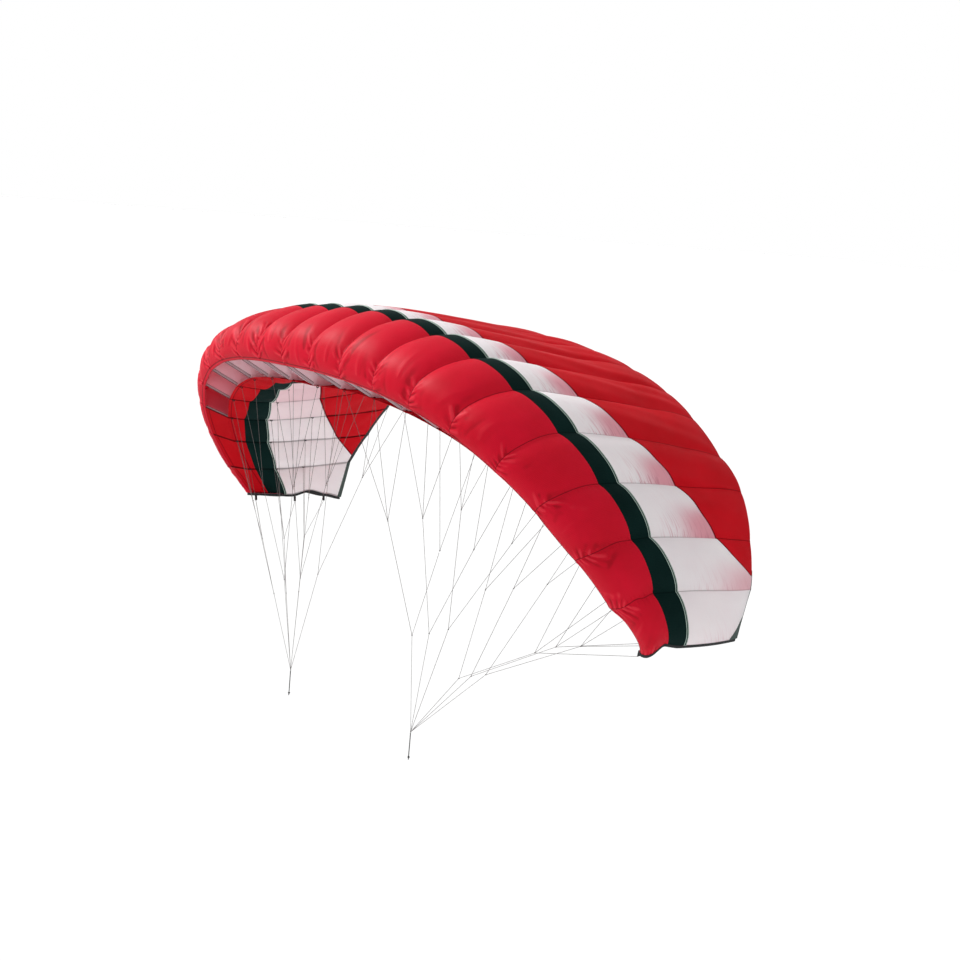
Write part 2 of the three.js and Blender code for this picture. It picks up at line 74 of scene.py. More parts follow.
# Colour seams, as shares of the chord that change with the square of the span share
SEAMS_ABOVE = {
    "stripe_front": {"root": 0.197, "squared": 0.052, "fourth": 0.005},
    "stripe_rear": {"root": 0.2575, "squared": 0.088, "fourth": 0.056},
    "white_rear": {"root": 0.39, "squared": 0.073, "fourth": 0.638},
}
SEAMS_BELOW = {
    "stripe_front": {"root": 0.2385, "squared": -0.072, "fourth": 0},
    "stripe_rear": {"root": 0.288, "squared": 0.0615, "fourth": 0},
    "white_rear": {"root": 0.411, "squared": 0.0885, "fourth": 0.661},
}
WHITE_RUN_OUT_START = 0.8
WHITE_MEETS_TAIL_CELLS = 1.25
REAR_PANEL_POINT = 0.005
TAIL_TAPE = 0.024

# Swelling of a cell between its ribs, in shares of the cell's width
SWELL_ABOVE = {"full": 0.137, "fade_power": 2.2, "tail": 0.035}
SWELL_BELOW = {"full": 0.08, "fade_power": 3, "tail": -0.035}
SWELL_NOSE = {"full": 0, "fade_power": 30, "tail": 0}
LIP_FADE = 0.12
TAIL_FADE_POWER = 0.8
SWELL_POWER = 2.35

# How far the seams of some ribs lie outward from their even place, in metres at shares of the chord
SEAM_SHIFTS = {
    0: ((0, 0.088), (0.23, -0.010), (0.33, 0.004), (1, 0.026)),
    1: ((0, 0.066), (0.16, 0.005), (0.25, -0.019), (0.4, -0.021), (1, 0.005)),
    2: ((0, 0.052), (0.2, 0.006), (0.34, -0.004), (1, -0.003)),
    3: ((0, 0.037), (0.2, 0.012), (0.6, 0.005), (1, -0.030)),
    4: ((0, 0.040), (0.2, 0.012), (0.5, 0.016), (1, 0)),
    5: ((0, 0.010), (0.2, 0), (0.45, 0.015), (1, -0.024)),
    16: ((0, 0), (0.5, 0), (1, 0.030)),
    17: ((0, 0), (0.5, 0), (1, 0.022)),
    18: ((0, 0.010), (1, 0)),
    19: ((0, -0.030), (0.17, -0.024), (0.40, -0.013), (0.67, -0.043), (0.85, -0.010), (1, 0.018)),
}
# The same, towards the tail
BACK_SHIFTS = {
    0: ((0.5, 0), (1, -0.030)),
    1: ((0.23, 0), (0.37, 0.028), (0.6, 0), (1, -0.004)),
    3: ((0.6, 0), (1, 0.030)),
    4: ((0.6, 0), (1, -0.012)),
    **{rib: ((0.5, 0), (1, back)) for rib, back in enumerate((0.020, 0.024, 0.022, 0.014, 0.008), 13)},
}
STRAIGHT = ((0, 0), (1, 0))
# Share of plain corners between the stops of a seam
CORNERS = {0: 0.7}
# The section is fuller in front and flatter behind at some ribs, in metres
CAMBER = {"metres": {5: 0.004, 6: 0.016, 7: 0.027, 8: 0.030, 9: 0.020, 10: 0.004},
          "zero": 0.42, "scale": 0.029, "deep": 0.06}
# The first cells of the right tip swell more above, and the tail swells unevenly
TIP_SWELL = (1.6, 1.4, 1.25)
TAIL_SWELL_SHARE = {0: -0.3, 1: 1.0, 2: 1.5, 3: 1.8, 18: 0.3}
# The back of the upper side lies lower at some ribs, and the lower lip too, in metres
REAR_DROP = {"metres": {3: 0.005, 4: 0.010, **dict.fromkeys(range(5, 13), 0.014)},
             "stops": (0.20, 0.45, 0.75, 1)}
LIP_DROP = {"metres": {9: 0.006, 10: 0.022, 11: 0.016, 12: 0.008}, "from": 0.12, "to": 0.32, "deep": 0.05}
# Swell of the closed noses, counted from a tip, and how far back it reaches
TIP_NOSES = {0: (-0.16, 0.26), 1: (-0.02, 0.16), 2: (0.03, 0.14)}

# Cloth and gaps
CLOTH = 0.0008
SKIN_MIDDLE = 0.0011
RIB_INSET = 0.0004
BINDING = {"near": 0.0009, "depth": 0.012, "half": 0.002}

# Grid of the sheets: shares across a cell, and rows in each band
COLUMNS = 40
COLUMN_STEPS = np.arange(COLUMNS) / COLUMNS
CLOSER_AT_RIBS = 0.55
SHARES = COLUMN_STEPS - CLOSER_AT_RIBS * np.sin(2 * math.pi * COLUMN_STEPS) / (2 * math.pi)
ROWS_ABOVE = {"nose": 58, "front_red": 52, "stripe_dark": 8, "band_white": 34, "rear_red": 28}
ROWS_BELOW = {"front_red": 12, "stripe_dark": 5, "band_white": 14, "rear_red": 16, "tail_tape": 2}
PARTS = (("_right", 0, 6), ("_middle", 6, 13), ("_left", 13, 19))
PARTED = {"upper": ("front_red", "stripe_dark", "band_white", "rear_red"), "lower": ("front_red",)}
NOSE_PANEL_ROWS = 14


def across_span(rule, span):
    """The even part of a shape across the span."""
    return rule["root"] + rule["squared"] * span**2 + rule["fourth"] * span**4


def rib_spans():
    """Span share of each rib, from 1 at the right tip to -1 at the left tip."""
    middle = (CELLS - 1) / 2
    widths = [1 - (1 - TIP_CELL_SHARE) * ((cell - middle) / middle) ** 2 for cell in range(CELLS)]
    return 1 - 2 * np.concatenate(([0], np.cumsum(widths))) / sum(widths)


def turn_at(span):
    """Turn of the arch at a span share."""
    share = TURN_SHARE
    return TIP_TURN * (share["linear"] * span + share["cubed"] * span**3 + share["fifth"] * span**5)


def arch_line():
    """Centre line of the arch from the middle to one tip, added up in small steps."""
    turn = turn_at((np.arange(ARCH_SAMPLES) + 0.5) / ARCH_SAMPLES)
    step = FLAT_SPAN / 2 / ARCH_SAMPLES
    x = np.concatenate(([0], np.cumsum(step * np.cos(turn))))
    z = np.concatenate(([0], -np.cumsum(step * np.sin(turn))))
    return x, z


SPANS = rib_spans()
ARCH_X, ARCH_Z = arch_line()


def station(span):
    """Frame of the rib at a span share: its chord, nose, and directions along, out and sideways."""
    size = abs(span)
    samples = np.arange(ARCH_SAMPLES + 1) / ARCH_SAMPLES
    turn = turn_at(span)
    tilt = across_span(PITCH, span)
    out = np.array((math.sin(turn), 0, math.cos(turn)))
    back = np.array((0, 1, 0))
    return {
        "chord": ROOT_CHORD * (1 - (1 - TIP_CHORD_SHARE) * size**CHORD_TAPER_POWER),
        "nose": np.array((
            np.interp(size, samples, ARCH_X) * np.sign(span),
            ROOT_MIDDLE["back"] - ROOT_CHORD / 2 + across_span(FRONT_SWEEP, span),
            ROOT_MIDDLE["height"] + np.interp(size, samples, ARCH_Z),
        )),
        "along": back * math.cos(tilt) - out * math.sin(tilt),
        "out": out * math.cos(tilt) + back * math.sin(tilt),
        "side": np.array((math.cos(turn), 0, -math.sin(turn))),
    }


RIBS = [station(span) for span in SPANS]


def cell_width(cell):
    return (SPANS[cell] - SPANS[cell + 1]) * FLAT_SPAN / 2


ROOT_CELL = cell_width(CELLS // 2)


def section_height(back):
    """Half thickness of the section at a share of the chord, for a depth of 1."""
    curve = SECTION_CURVE
    return SECTION_SCALE * (
        curve["root"] * np.sqrt(back) + curve["linear"] * back + curve["squared"] * back**2
        + curve["cubed"] * back**3 + curve["fourth"] * back**4
    )


def upper_points(back):
    back = np.atleast_1d(back)
    return np.stack((back, UPPER_DEPTH * section_height(back)), axis=1)


def lower_points(back):
    back = np.atleast_1d(back)
    return np.stack((back, -LOWER_DEPTH * section_height(back)), axis=1)


LOWER_LIP = lower_points(LOWER_LIP_BACK)[0]


def unit(vector):
    return vector / np.linalg.norm(vector, axis=-1, keepdims=True)


def nose_points(share):
    """Nose from the upper lip to the top of the section, a cubic curve."""
    top = upper_points(NOSE_BACK)[0]
    forward = unit(top - upper_points(NOSE_BACK + SLOPE_STEP)[0])
    below = UPPER_LIP - unit(LOWER_LIP - UPPER_LIP) * LIP_HANDLE
    handles = (UPPER_LIP, below, top + forward * NOSE_HANDLE, top)
    t = np.asarray(share)[:, None]
    weights = ((1 - t) ** 3, 3 * t * (1 - t) ** 2, 3 * t**2 * (1 - t), t**3)
    return sum(weight * handle for weight, handle in zip(weights, handles))


MEET_CELL = int(WHITE_MEETS_TAIL_CELLS)
MEET_SHARE = WHITE_MEETS_TAIL_CELLS - MEET_CELL
MEET_SPAN = SPANS[MEET_CELL] + (SPANS[MEET_CELL + 1] - SPANS[MEET_CELL]) * MEET_SHARE
SPAN_SLACK = 1e-6
ROW_SLIVER = 1e-5


def white_rear_seam(rule, span, chord, end):
    """Where white ends on a chord: at its seam, or at the tail once it has run out near a tip."""
    size = abs(span)
    if size > MEET_SPAN + SPAN_SLACK:
        return end - ROW_SLIVER
    run_out = max(0, (size - WHITE_RUN_OUT_START) / (MEET_SPAN - WHITE_RUN_OUT_START)) ** 2
    seam = across_span(rule, size) + (end - across_span(rule, MEET_SPAN)) * run_out
    return min(seam, end - REAR_PANEL_POINT / chord)


def band_rows(seams, counts, start, end, span, chord):
    """Shares of the chord at the rows of each band, from where the first starts to the tail."""
    stripe = [across_span(seams[name], span) for name in ("stripe_front", "stripe_rear")]
    stops = [start, *stripe, white_rear_seam(seams["white_rear"], span, chord, end), end, 1]
    return [np.linspace(first, last, rows + 1)[1:] for first, last, rows in zip(stops, stops[1:], counts)]


def rows_above(span, chord):
    nose, *counts = ROWS_ABOVE.values()
    backs = band_rows(SEAMS_ABOVE, counts, NOSE_BACK, 1, span, chord)
    return np.concatenate((nose_points(np.linspace(0, 1, nose + 1)), upper_points(np.concatenate(backs))))


def rows_below(span, chord):
    backs = band_rows(SEAMS_BELOW, ROWS_BELOW.values(), LOWER_LIP_BACK, 1 - TAIL_TAPE / chord, span, chord)
    return lower_points(np.concatenate([[LOWER_LIP_BACK], *backs]))


def rows_of_nose_panel(span, chord):
    share = np.linspace(0, 1, NOSE_PANEL_ROWS + 1)[:, None]
    return UPPER_LIP + (LOWER_LIP - UPPER_LIP) * share


def smoothstep(value, low, high):
    share = np.clip((value - low) / (high - low), 0, 1)
    return share * share * (3 - 2 * share)


def outward_along_nose(index):
    """Direction along the leading edge at a rib, towards its own tip."""
    toward = -1 if index <= CELLS / 2 else 1
    next_rib = min(max(index + toward, 0), CELLS)
    return unit(RIBS[next_rib]["nose"] - RIBS[next_rib - toward]["nose"])


for index, rib in enumerate(RIBS):
    rib["outward"] = outward_along_nose(index)
    rib["shifts"] = SEAM_SHIFTS.get(index, STRAIGHT)
    rib["corners"] = CORNERS.get(index, 0)
    rib["back_shifts"] = BACK_SHIFTS.get(index, STRAIGHT)
    rib["camber"] = CAMBER["metres"].get(index, 0)
    rib["rear_drop"] = REAR_DROP["metres"].get(index, 0)
    rib["lip_drop"] = LIP_DROP["metres"].get(index, 0)


def stepped(stops, back, corners=0):
    """A shift that changes by smooth steps between its stops, or with the given share of plain corners."""
    shift = stops[0][1]
    for (first, start), (last, end) in zip(stops, stops[1:]):
        even = np.clip((back - first) / (last - first), 0, 1)
        share = corners * even + (1 - corners) * smoothstep(back, first, last)
        shift = shift + (end - start) * share
    return shift


def place_on_rib(rib, points):
    """Section points of a rib, brought to their place."""
    back, height = points[..., :1], points[..., 1:]
    fuller = np.clip(back * (1 - back) ** 2 * (CAMBER["zero"] - back) / CAMBER["scale"], -1, 1)
    begin, full, fade, end = REAR_DROP["stops"]
    lower_rear = smoothstep(back, begin, full) * (1 - smoothstep(back, fade, end))
    lift = (rib["camber"] * fuller - rib["rear_drop"] * lower_rear) * np.clip(height / CAMBER["deep"], 0, 1)
    below = np.clip(-height / LIP_DROP["deep"], 0, 1)
    lift = lift - rib["lip_drop"] * (1 - smoothstep(back, LIP_DROP["from"], LIP_DROP["to"])) * below
    place = rib["nose"] + rib["chord"] * (back * rib["along"] + height * rib["out"])
    return (place + rib["outward"] * stepped(rib["shifts"], back, rib["corners"])
            + rib["along"] * stepped(rib["back_shifts"], back) + rib["out"] * lift)


# Creases of the cloth. A fan starts at a rib: its side (0 right, 1 left), how many, where along the seam in
# metres, how far they lean from across towards back in degrees, how long, how wide and how high
FANS = {
    "left_half": (
        (0, 8, (0.010, 0.150), (28, 66), (0.06, 0.13), (0.0055, 0.0085), 0.0062),
        (1, 3, (0.030, 0.120), (-35, 20), (0.05, 0.09), (0.005, 0.008), 0.0035),
    ),
    "middle": (
        (1, 6, (0.010, 0.110), (30, 66), (0.05, 0.11), (0.0055, 0.008), 0.0060),
        (0, 3, (0.020, 0.120), (10, 50), (0.04, 0.09), (0.005, 0.008), 0.0034),
    ),
    "right_half": (
        (1, 5, (0.010, 0.100), (10, 60), (0.04, 0.08), (0.005, 0.008), 0.0044),
        (0, 4, (0.010, 0.100), (10, 55), (0.03, 0.07), (0.005, 0.008), 0.0034),
    ),
}
FIRST_MIDDLE_CELL, FIRST_LEFT_CELL = 6, 11
FAN_JITTER = {"share": (0.15, 0.85), "lean": (-0.15, 0.15), "up": (0.6, 1.15)}
NOSE_FOLD = {"per_cell": 4, "place": (0.02, 0.12), "long": (0.10, 0.22), "wide": (0.010, 0.016),
             "up": 0.0028, "lean": (-32, 32), "right_half": 0.5}
CREASE_SEED = 11
SEAM_PUCKER = {"pitch": 0.021, "reach": 0.014, "down": 0.0026, "tips": 1.7, "tip_cells": 3}
WAVE_PARTS = ((0.5, 1), (0.3, 0.61), (0.2, 1.73))
REAR_WAVE = {"pitch": 0.19, "up": 0.0030}
LOWER_WAVE = {"pitch": 0.11, "up": 0.0016}
SEWN_DOWN = 0.006
PLEAT_REACH = 0.060
HEM = {"wide": 0.017, "up": 0.0009, "soft": 0.001}
FOLD_UNIT = 0.0022


def crease(a, s, start, turn, long, wide, up):
    """A ridge and its trough from a start point, fading out. a and s are metres across and along a cell."""
    da, ds = a - start[0], s - start[1]
    along = (da * math.cos(turn) + ds * math.sin(turn)) / long
    off = (-da * math.sin(turn) + ds * math.cos(turn)) / (wide * (0.75 + 0.8 * np.clip(along, 0, 1)))
    fade = np.clip(along * 9 + 0.4, 0, 1) * np.clip(1 - along, 0, 1) ** 0.7
    return up * fade * (np.exp(-off**2) - 0.6 * np.exp(-(off - 1.7) ** 2) - 0.2 * np.exp(-(off + 1.7) ** 2))


def waves(values, pitch, seed):
    """Uneven waves between -1 and 1 along a length."""
    rng = np.random.default_rng(seed)
    return sum(share * np.sin(2 * math.pi * values / (pitch * stretch) + rng.uniform(0, 2 * math.pi))
               for share, stretch in WAVE_PARTS)


def upper_creases(cell, a, s):
    """Height of the creases on one cell of the upper skin."""
    width = cell_width(cell)
    rng = np.random.default_rng(CREASE_SEED + cell)
    height = np.zeros_like(a)
    group = "right_half" if cell < FIRST_MIDDLE_CELL else "middle" if cell < FIRST_LEFT_CELL else "left_half"
    for side, count, place, leans, long, wide, up in FANS[group]:
        for i in range(count):
            share = (i + rng.uniform(*FAN_JITTER["share"])) / count
            start = (side * width, place[0] + (place[1] - place[0]) * share)
            turned = np.clip(share + rng.uniform(*FAN_JITTER["lean"]), 0, 1)
            lean = math.radians(leans[0] + (leans[1] - leans[0]) * turned)
            turn = math.pi - lean if side else lean
            height += crease(a, s, start, turn, rng.uniform(*long), rng.uniform(*wide),
                             up * rng.uniform(*FAN_JITTER["up"]))
    fold = NOSE_FOLD
    for i in range(fold["per_cell"]):
        start = (width * (i + rng.uniform(0.2, 0.8)) / fold["per_cell"], rng.uniform(*fold["place"]))
        turn = math.radians(90 + rng.uniform(*fold["lean"]))
        up = fold["up"] * rng.uniform(0.5, 1.0) * (1 if i % 2 else -1) * fold.get(group, 1)
        height += crease(a, s, start, turn, rng.uniform(*fold["long"]), rng.uniform(*fold["wide"]), up)
    return height


def pinned(a, width):
    """Share of a height that is left near the ribs, where the cloth is sewn down."""
    return smoothstep(np.minimum(a, width - a), 0, SEWN_DOWN)


def pucker(a, s, width, cell):
    """Small gathers along the rib seams on both sides of a cell."""
    rule = SEAM_PUCKER
    strength = rule["down"] * (rule["tips"] if min(cell, CELLS - 1 - cell) < rule["tip_cells"] else 1)
    total = 0
    for side, distance in ((cell, a), (cell + 1, width - a)):
        total = total - strength * np.exp(-distance / rule["reach"]) * (
            0.5 + 0.5 * waves(s + 0.3 * distance, rule["pitch"], CREASE_SEED * 7 + side))
    return total


def seen_from_tip(band):
    """Share across a cell from the rib on its tip's side, the cell's count from its tip, and share along."""
    share = np.where(band["cell"] < CELLS / 2, band["share"], 1 - band["share"])
    edge_cell = np.minimum(band["cell"], CELLS - 1 - band["cell"])
    return share, edge_cell, np.linspace(0, 1, band["points"].shape[1])[None, :]


def pleated(band, face):
    """How strongly the white is gathered near the rib on the tip's side."""
    if face < 0:
        return np.zeros_like(band["across"])
    share, edge_cell, length = seen_from_tip(band)
    gathered = np.exp(-share * ROOT_CELL / PLEAT_REACH) * smoothstep(length, 0.05, 0.4)
    return gathered * np.where(edge_cell < 2, 0.35, 1)


# Direction in the section, square to the line from lip to lip, in which the noses swell
NOSE_FORWARD = unit(np.array((UPPER_LIP - LOWER_LIP)[[1, 0]]) * (-1, 1))
SKIN_MAPS = ("points", "normals", "across", "along", "seam", "back", "cell", "share", "fold")


def skin(first_rib, last_rib, rows_at, rule, lip, face, relief):
    """A skin between two ribs, column by column: points, outward normals and the maps of its cloth."""
    parts = {name: [] for name in SKIN_MAPS}
    shares = np.append(SHARES, 1.0)
    laid = 0.0
    for cell in range(first_rib, last_rib):
        width = cell_width(cell)
        right, left = RIBS[cell], RIBS[cell + 1]
        spans = SPANS[cell] + (SPANS[cell + 1] - SPANS[cell]) * shares
        chords = right["chord"] + (left["chord"] - right["chord"]) * shares
        rows = np.stack([rows_at(span, chord) for span, chord in zip(spans, chords)])
        run = np.gradient(rows, axis=1)
        outward = unit(np.stack((-run[..., 1], run[..., 0]), axis=-1)) * face
        u = shares[:, None, None]
        steps = np.linalg.norm(np.diff(rows, axis=1), axis=-1) * chords[:, None]
        along = np.concatenate((np.zeros((len(shares), 1)), np.cumsum(steps, axis=1)), axis=1)
        from_lip = np.linalg.norm(rows - lip, axis=-1)
        from_lip = np.minimum(from_lip, np.linalg.norm(rows - LOWER_LIP, axis=-1))
        lip_share, lip_fade = TIP_NOSES.get(min(cell, CELLS - 1 - cell), (0, LIP_FADE))
        at_lip = 1 - smoothstep(from_lip, 0, lip_fade)
        fade = np.maximum(0, 1 - rows[..., 0] ** rule["fade_power"]) ** TAIL_FADE_POWER
        more = TIP_SWELL[cell] if cell < len(TIP_SWELL) and face > 0 else 1
        full = rule["full"] * more * fade + rule["tail"] * TAIL_SWELL_SHARE.get(cell, 1) * (1 - fade)
        swell = full * (1 - at_lip)
        outward = outward * swell[..., None] + NOSE_FORWARD * (lip_share * at_lip)[..., None]
        arched = np.array((0, abs(turn_at(SPANS[cell]) - turn_at(SPANS[cell + 1])) / 8))
        outward = outward + arched * at_lip[..., None]
        bow = (1 - np.abs(2 * shares - 1) ** SWELL_POWER)[:, None] * width
        points = place_on_rib(right, rows) * (1 - u) + place_on_rib(left, rows) * u
        for rib, weight in ((right, 1 - u), (left, u)):
            way = outward[..., :1] * rib["along"] + outward[..., 1:] * rib["out"]
            points = points + weight * bow[..., None] * way
        a = np.broadcast_to(shares[:, None] * width, along.shape)
        normals = grid_normals(points, face)
        height, folds = relief(cell, a, along, rows[..., 0])
        points = points + normals * (SKIN_MIDDLE + height * pinned(a, width))[..., None]
        normals = grid_normals(points, face)
        keep = slice(None) if cell == last_rib - 1 else slice(0, -1)
        found = (points, normals, laid + a, along, np.minimum(a, width - a), rows[..., 0],
                 np.full(a.shape, cell), np.broadcast_to(shares[:, None], a.shape), folds)
        for name, values in zip(SKIN_MAPS, found):
            parts[name].append(values[keep])
        laid += width
    return {name: np.concatenate(values) for name, values in parts.items()}


def grid_normals(points, face):
    """Outward normals of a grid of points, columns first."""
    return unit(np.cross(np.gradient(points, axis=1), np.gradient(points, axis=0))) * face


# Meshes

def activate(piece):
    bpy.ops.object.select_all(action="DESELECT")
    piece.select_set(True)
    bpy.context.view_layer.objects.active = piece


def add_mesh(name, points, faces, material):
    mesh = bpy.data.meshes.new(name)
    mesh.from_pydata(points.reshape(-1, 3).tolist(), [], faces)
    mesh.materials.append(material)
    mesh.update()
    piece = bpy.data.objects.new(name, mesh)
    bpy.context.collection.objects.link(piece)
    return piece


def grid_faces(columns, rows, face):
    """Four-sided faces of a grid whose points run down each column in turn."""
    start = (np.arange(columns - 1)[:, None] * rows + np.arange(rows - 1)).ravel()
    faces = np.stack((start, start + 1, start + rows + 1, start + rows), axis=1)
    return (faces if face > 0 else faces[:, ::-1]).tolist()


def write_map(piece, name, across, along):
    layer = piece.data.uv_layers.new(name=name)
    corner = np.empty(len(piece.data.loops), np.int32)
    piece.data.loops.foreach_get("vertex_index", corner)
    values = np.stack((across.ravel()[corner], along.ravel()[corner]), axis=1)
    layer.data.foreach_set("uv", values.astype(np.float32).ravel())


def write_value(piece, name, values):
    layer = piece.data.attributes.new(name, "FLOAT", "POINT")
    layer.data.foreach_set("value", np.ascontiguousarray(values, np.float32).ravel())


def thicken(piece, thickness):
    modifier = piece.modifiers.new("thickness", "SOLIDIFY")
    modifier.thickness = thickness
    modifier.offset = 0
    activate(piece)
    bpy.ops.object.modifier_apply(modifier=modifier.name)


def smooth(piece, degrees=38):
    activate(piece)
    bpy.ops.object.shade_smooth_by_angle(angle=math.radians(degrees))


def settle(piece):
    """Brings a piece's place into its mesh."""
    activate(piece)
    bpy.ops.object.transform_apply(location=True, rotation=True, scale=True)


def edit_mesh(piece, *steps):
    """Runs operators with their settings on the whole mesh of a piece."""
    activate(piece)
    bpy.ops.object.mode_set(mode="EDIT")
    bpy.ops.mesh.select_all(action="SELECT")
    for operator, settings in steps:
        operator(**settings)
    bpy.ops.object.mode_set(mode="OBJECT")


def add_block(sizes, bevel, segments, cuts=0):
    """A block with rounded edges at the origin."""
    bpy.ops.mesh.primitive_cube_add(size=1)
    piece = bpy.context.object
    piece.scale = sizes
    settle(piece)
    steps = [(bpy.ops.mesh.bevel, {"offset": bevel, "segments": segments, "affect": "EDGES"})]
    if cuts:
        steps.append((bpy.ops.mesh.subdivide, {"number_cuts": cuts}))
    edit_mesh(piece, *steps)
    return piece


def turned_to(*axes):
    return Matrix(np.stack(axes, axis=1).tolist()).to_4x4()


def put(piece, at, axes, material):
    """Brings a piece made at the origin to its place."""
    piece.matrix_world = Matrix.Translation(at) @ axes
    settle(piece)
    piece.data.materials.append(material)


def join(pieces, name):
    activate(pieces[0])
    for piece in pieces:
        piece.select_set(True)
    bpy.ops.object.join()
    joined = bpy.context.view_layer.objects.active
    joined.name = name
    joined.data.name = name
    return joined


def hand_over(piece, nodes=()):
    """The piece rides on the kite and stands for CAD nodes, which it hides."""
    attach(piece, "root")
    if nodes:
        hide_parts(*nodes)


# Materials

def shader_node(tree, kind, inputs=None, **settings):
    node = tree.nodes.new("ShaderNode" + kind)
    for name, value in settings.items():
        setattr(node, name, value)
    for name, value in (inputs or {}).items():
        if isinstance(value, bpy.types.NodeSocket):
            tree.links.new(value, node.inputs[name])
        else:
            node.inputs[name].default_value = value
    return node


def new_material(name):
    material = bpy.data.materials.new(name)
    material.use_nodes = True
    material.node_tree.nodes.clear()
    return material, material.node_tree


def math_node(tree, operation, first, second=0.5):
    return shader_node(tree, "Math", {0: first, 1: second}, operation=operation).outputs[0]


def times(tree, first, second):
    return math_node(tree, "MULTIPLY", first, second)


def blend_colours(tree, factor, first, second):
    return shader_node(tree, "Mix", {0: factor, 6: first, 7: second}, data_type="RGBA").outputs[2]


def ramp(tree, value, low, high, start, end, kind="SMOOTHSTEP"):
    """A value brought from one range to another, with soft ends or evenly."""
    return shader_node(tree, "MapRange", {
        "Value": value, "From Min": low, "From Max": high, "To Min": start, "To Max": end},
        interpolation_type=kind).outputs[0]


def noise(tree, place, scale, detail, roughness, distortion=0.0):
    return shader_node(tree, "TexNoise", {"Vector": place, "Scale": scale, "Detail": detail,
                                          "Roughness": roughness, "Distortion": distortion}).outputs[0]


def principled(tree, body, roughness, gloss, **more):
    return shader_node(tree, "BsdfPrincipled", {
        "Base Color": body, "Roughness": roughness, "Specular IOR Level": gloss, **more}).outputs[0]


def line_mask(tree, value, middle, half, soft):
    """1 where a value lies within half of a middle, with soft edges."""
    off = math_node(tree, "ABSOLUTE", math_node(tree, "SUBTRACT", value, middle))
    return ramp(tree, off, half, half + soft, 1.0, 0.0)


def piece_value(tree, name):
    return shader_node(tree, "Attribute", attribute_name=name).outputs["Fac"]


RIPSTOP = {"pitch": 0.005, "line": 0.0004, "soft": 0.6, "lighter": 0.35, "raised": 0.25}
# Pleats of gathered white: their bumps, and painted pink shade in their folds
PLEAT = {"turn": 0.35, "scale": (14, 120, 1), "from": 0.50, "to": 0.66, "up": 3.0,
         "painted_pleat_shade": (0.60, 0.24, 0.31, 1), "tone": 0.8}
CLOTH_TONE = {"scale": 4.5, "from": 0.35, "to": 0.65}
CRUMPLE = {"scale": 70, "strength": 0.35, "deep": 0.0015}
WEAVE = {"waves": 0.31, "distortion": 0.6, "strength": 0.5, "deep": 0.0004, "roughness": 0.7, "gloss": 0.3}


def pleat_streaks(tree, cut):
    """Fine pleats that run across the cloth, where it is gathered."""
    bent = shader_node(tree, "Mapping", {
        "Vector": cut, "Rotation": (0, 0, PLEAT["turn"]), "Scale": PLEAT["scale"]}).outputs[0]
    sharp = ramp(tree, noise(tree, bent, 1.0, 1.0, 0.5, 0.3), PLEAT["from"], PLEAT["to"], 0.0, 1.0)
    return times(tree, sharp, piece_value(tree, "pleat"))


def cloth_material(name, colour, deep, marks=(), roughness=0.45, through=0.4, seam_tone=0.45, gloss=0.12,
                   pleats=False):
    """Ripstop cloth: its tone, square grid, seam shadows and marks, some of them painted highlights and
    shade, with light coming through it.
    With pleats, the gathered cloth gets painted pink shade in its folds as well as their bumps.
    Each mark is (value name, middle, half width, soft edge, colour, strength)."""
    material, tree = new_material(name)
    place = shader_node(tree, "TexCoord").outputs["Object"]
    cut = shader_node(tree, "UVMap", uv_map="cloth").outputs["UV"]
    tone = noise(tree, place, CLOTH_TONE["scale"], 4.0, 0.55)
    shade = ramp(tree, tone, CLOTH_TONE["from"], CLOTH_TONE["to"], 0.0, 1.0, "LINEAR")
    body = blend_colours(tree, shade, (*deep, 1), (*colour, 1))
    grid = shader_node(tree, "TexBrick", {
        "Vector": cut, "Scale": 1.0, "Mortar Size": RIPSTOP["line"], "Mortar Smooth": RIPSTOP["soft"],
        "Brick Width": RIPSTOP["pitch"], "Row Height": RIPSTOP["pitch"]}, offset=0.0, squash=1.0)
    grid = grid.outputs["Fac"]
    light = tuple(min(1.0, channel * 1.25 + 0.01) for channel in colour)
    body = blend_colours(tree, times(tree, grid, RIPSTOP["lighter"]), body, (*light, 1))
    seam_shade = ramp(tree, piece_value(tree, "seam"), 0.5, 1.5, 1.0, 0.0)
    dark = tuple(channel * seam_tone for channel in deep)
    body = blend_colours(tree, seam_shade, body, (*dark, 1))
    for value, middle, half, soft, paint, strength in marks:
        mask = line_mask(tree, piece_value(tree, value), middle, half, soft)
        body = blend_colours(tree, times(tree, mask, strength), body, (*paint, 1))
    crumple = noise(tree, place, CRUMPLE["scale"], 3.0, 0.6)
    relief = math_node(tree, "ADD", crumple, times(tree, grid, RIPSTOP["raised"]))
    if pleats:
        gathered = pleat_streaks(tree, cut)
        relief = math_node(tree, "ADD", relief, times(tree, gathered, PLEAT["up"]))
        # Painted pink shade in the pleats
        body = blend_colours(tree, times(tree, gathered, PLEAT["tone"]), body, PLEAT["painted_pleat_shade"])
    bump = shader_node(tree, "Bump", {
        "Strength": CRUMPLE["strength"], "Distance": CRUMPLE["deep"], "Height": relief}).outputs[0]
    surface = principled(tree, body, roughness, gloss, Normal=bump)
    tint = shader_node(tree, "Gamma", {"Color": body, "Gamma": 0.5}).outputs[0]
    behind = shader_node(tree, "BsdfTranslucent", {"Color": tint, "Normal": bump}).outputs[0]
    mixed = shader_node(tree, "MixShader", {0: through, 1: surface, 2: behind}).outputs[0]
    shader_node(tree, "OutputMaterial", {"Surface": mixed})
    return material


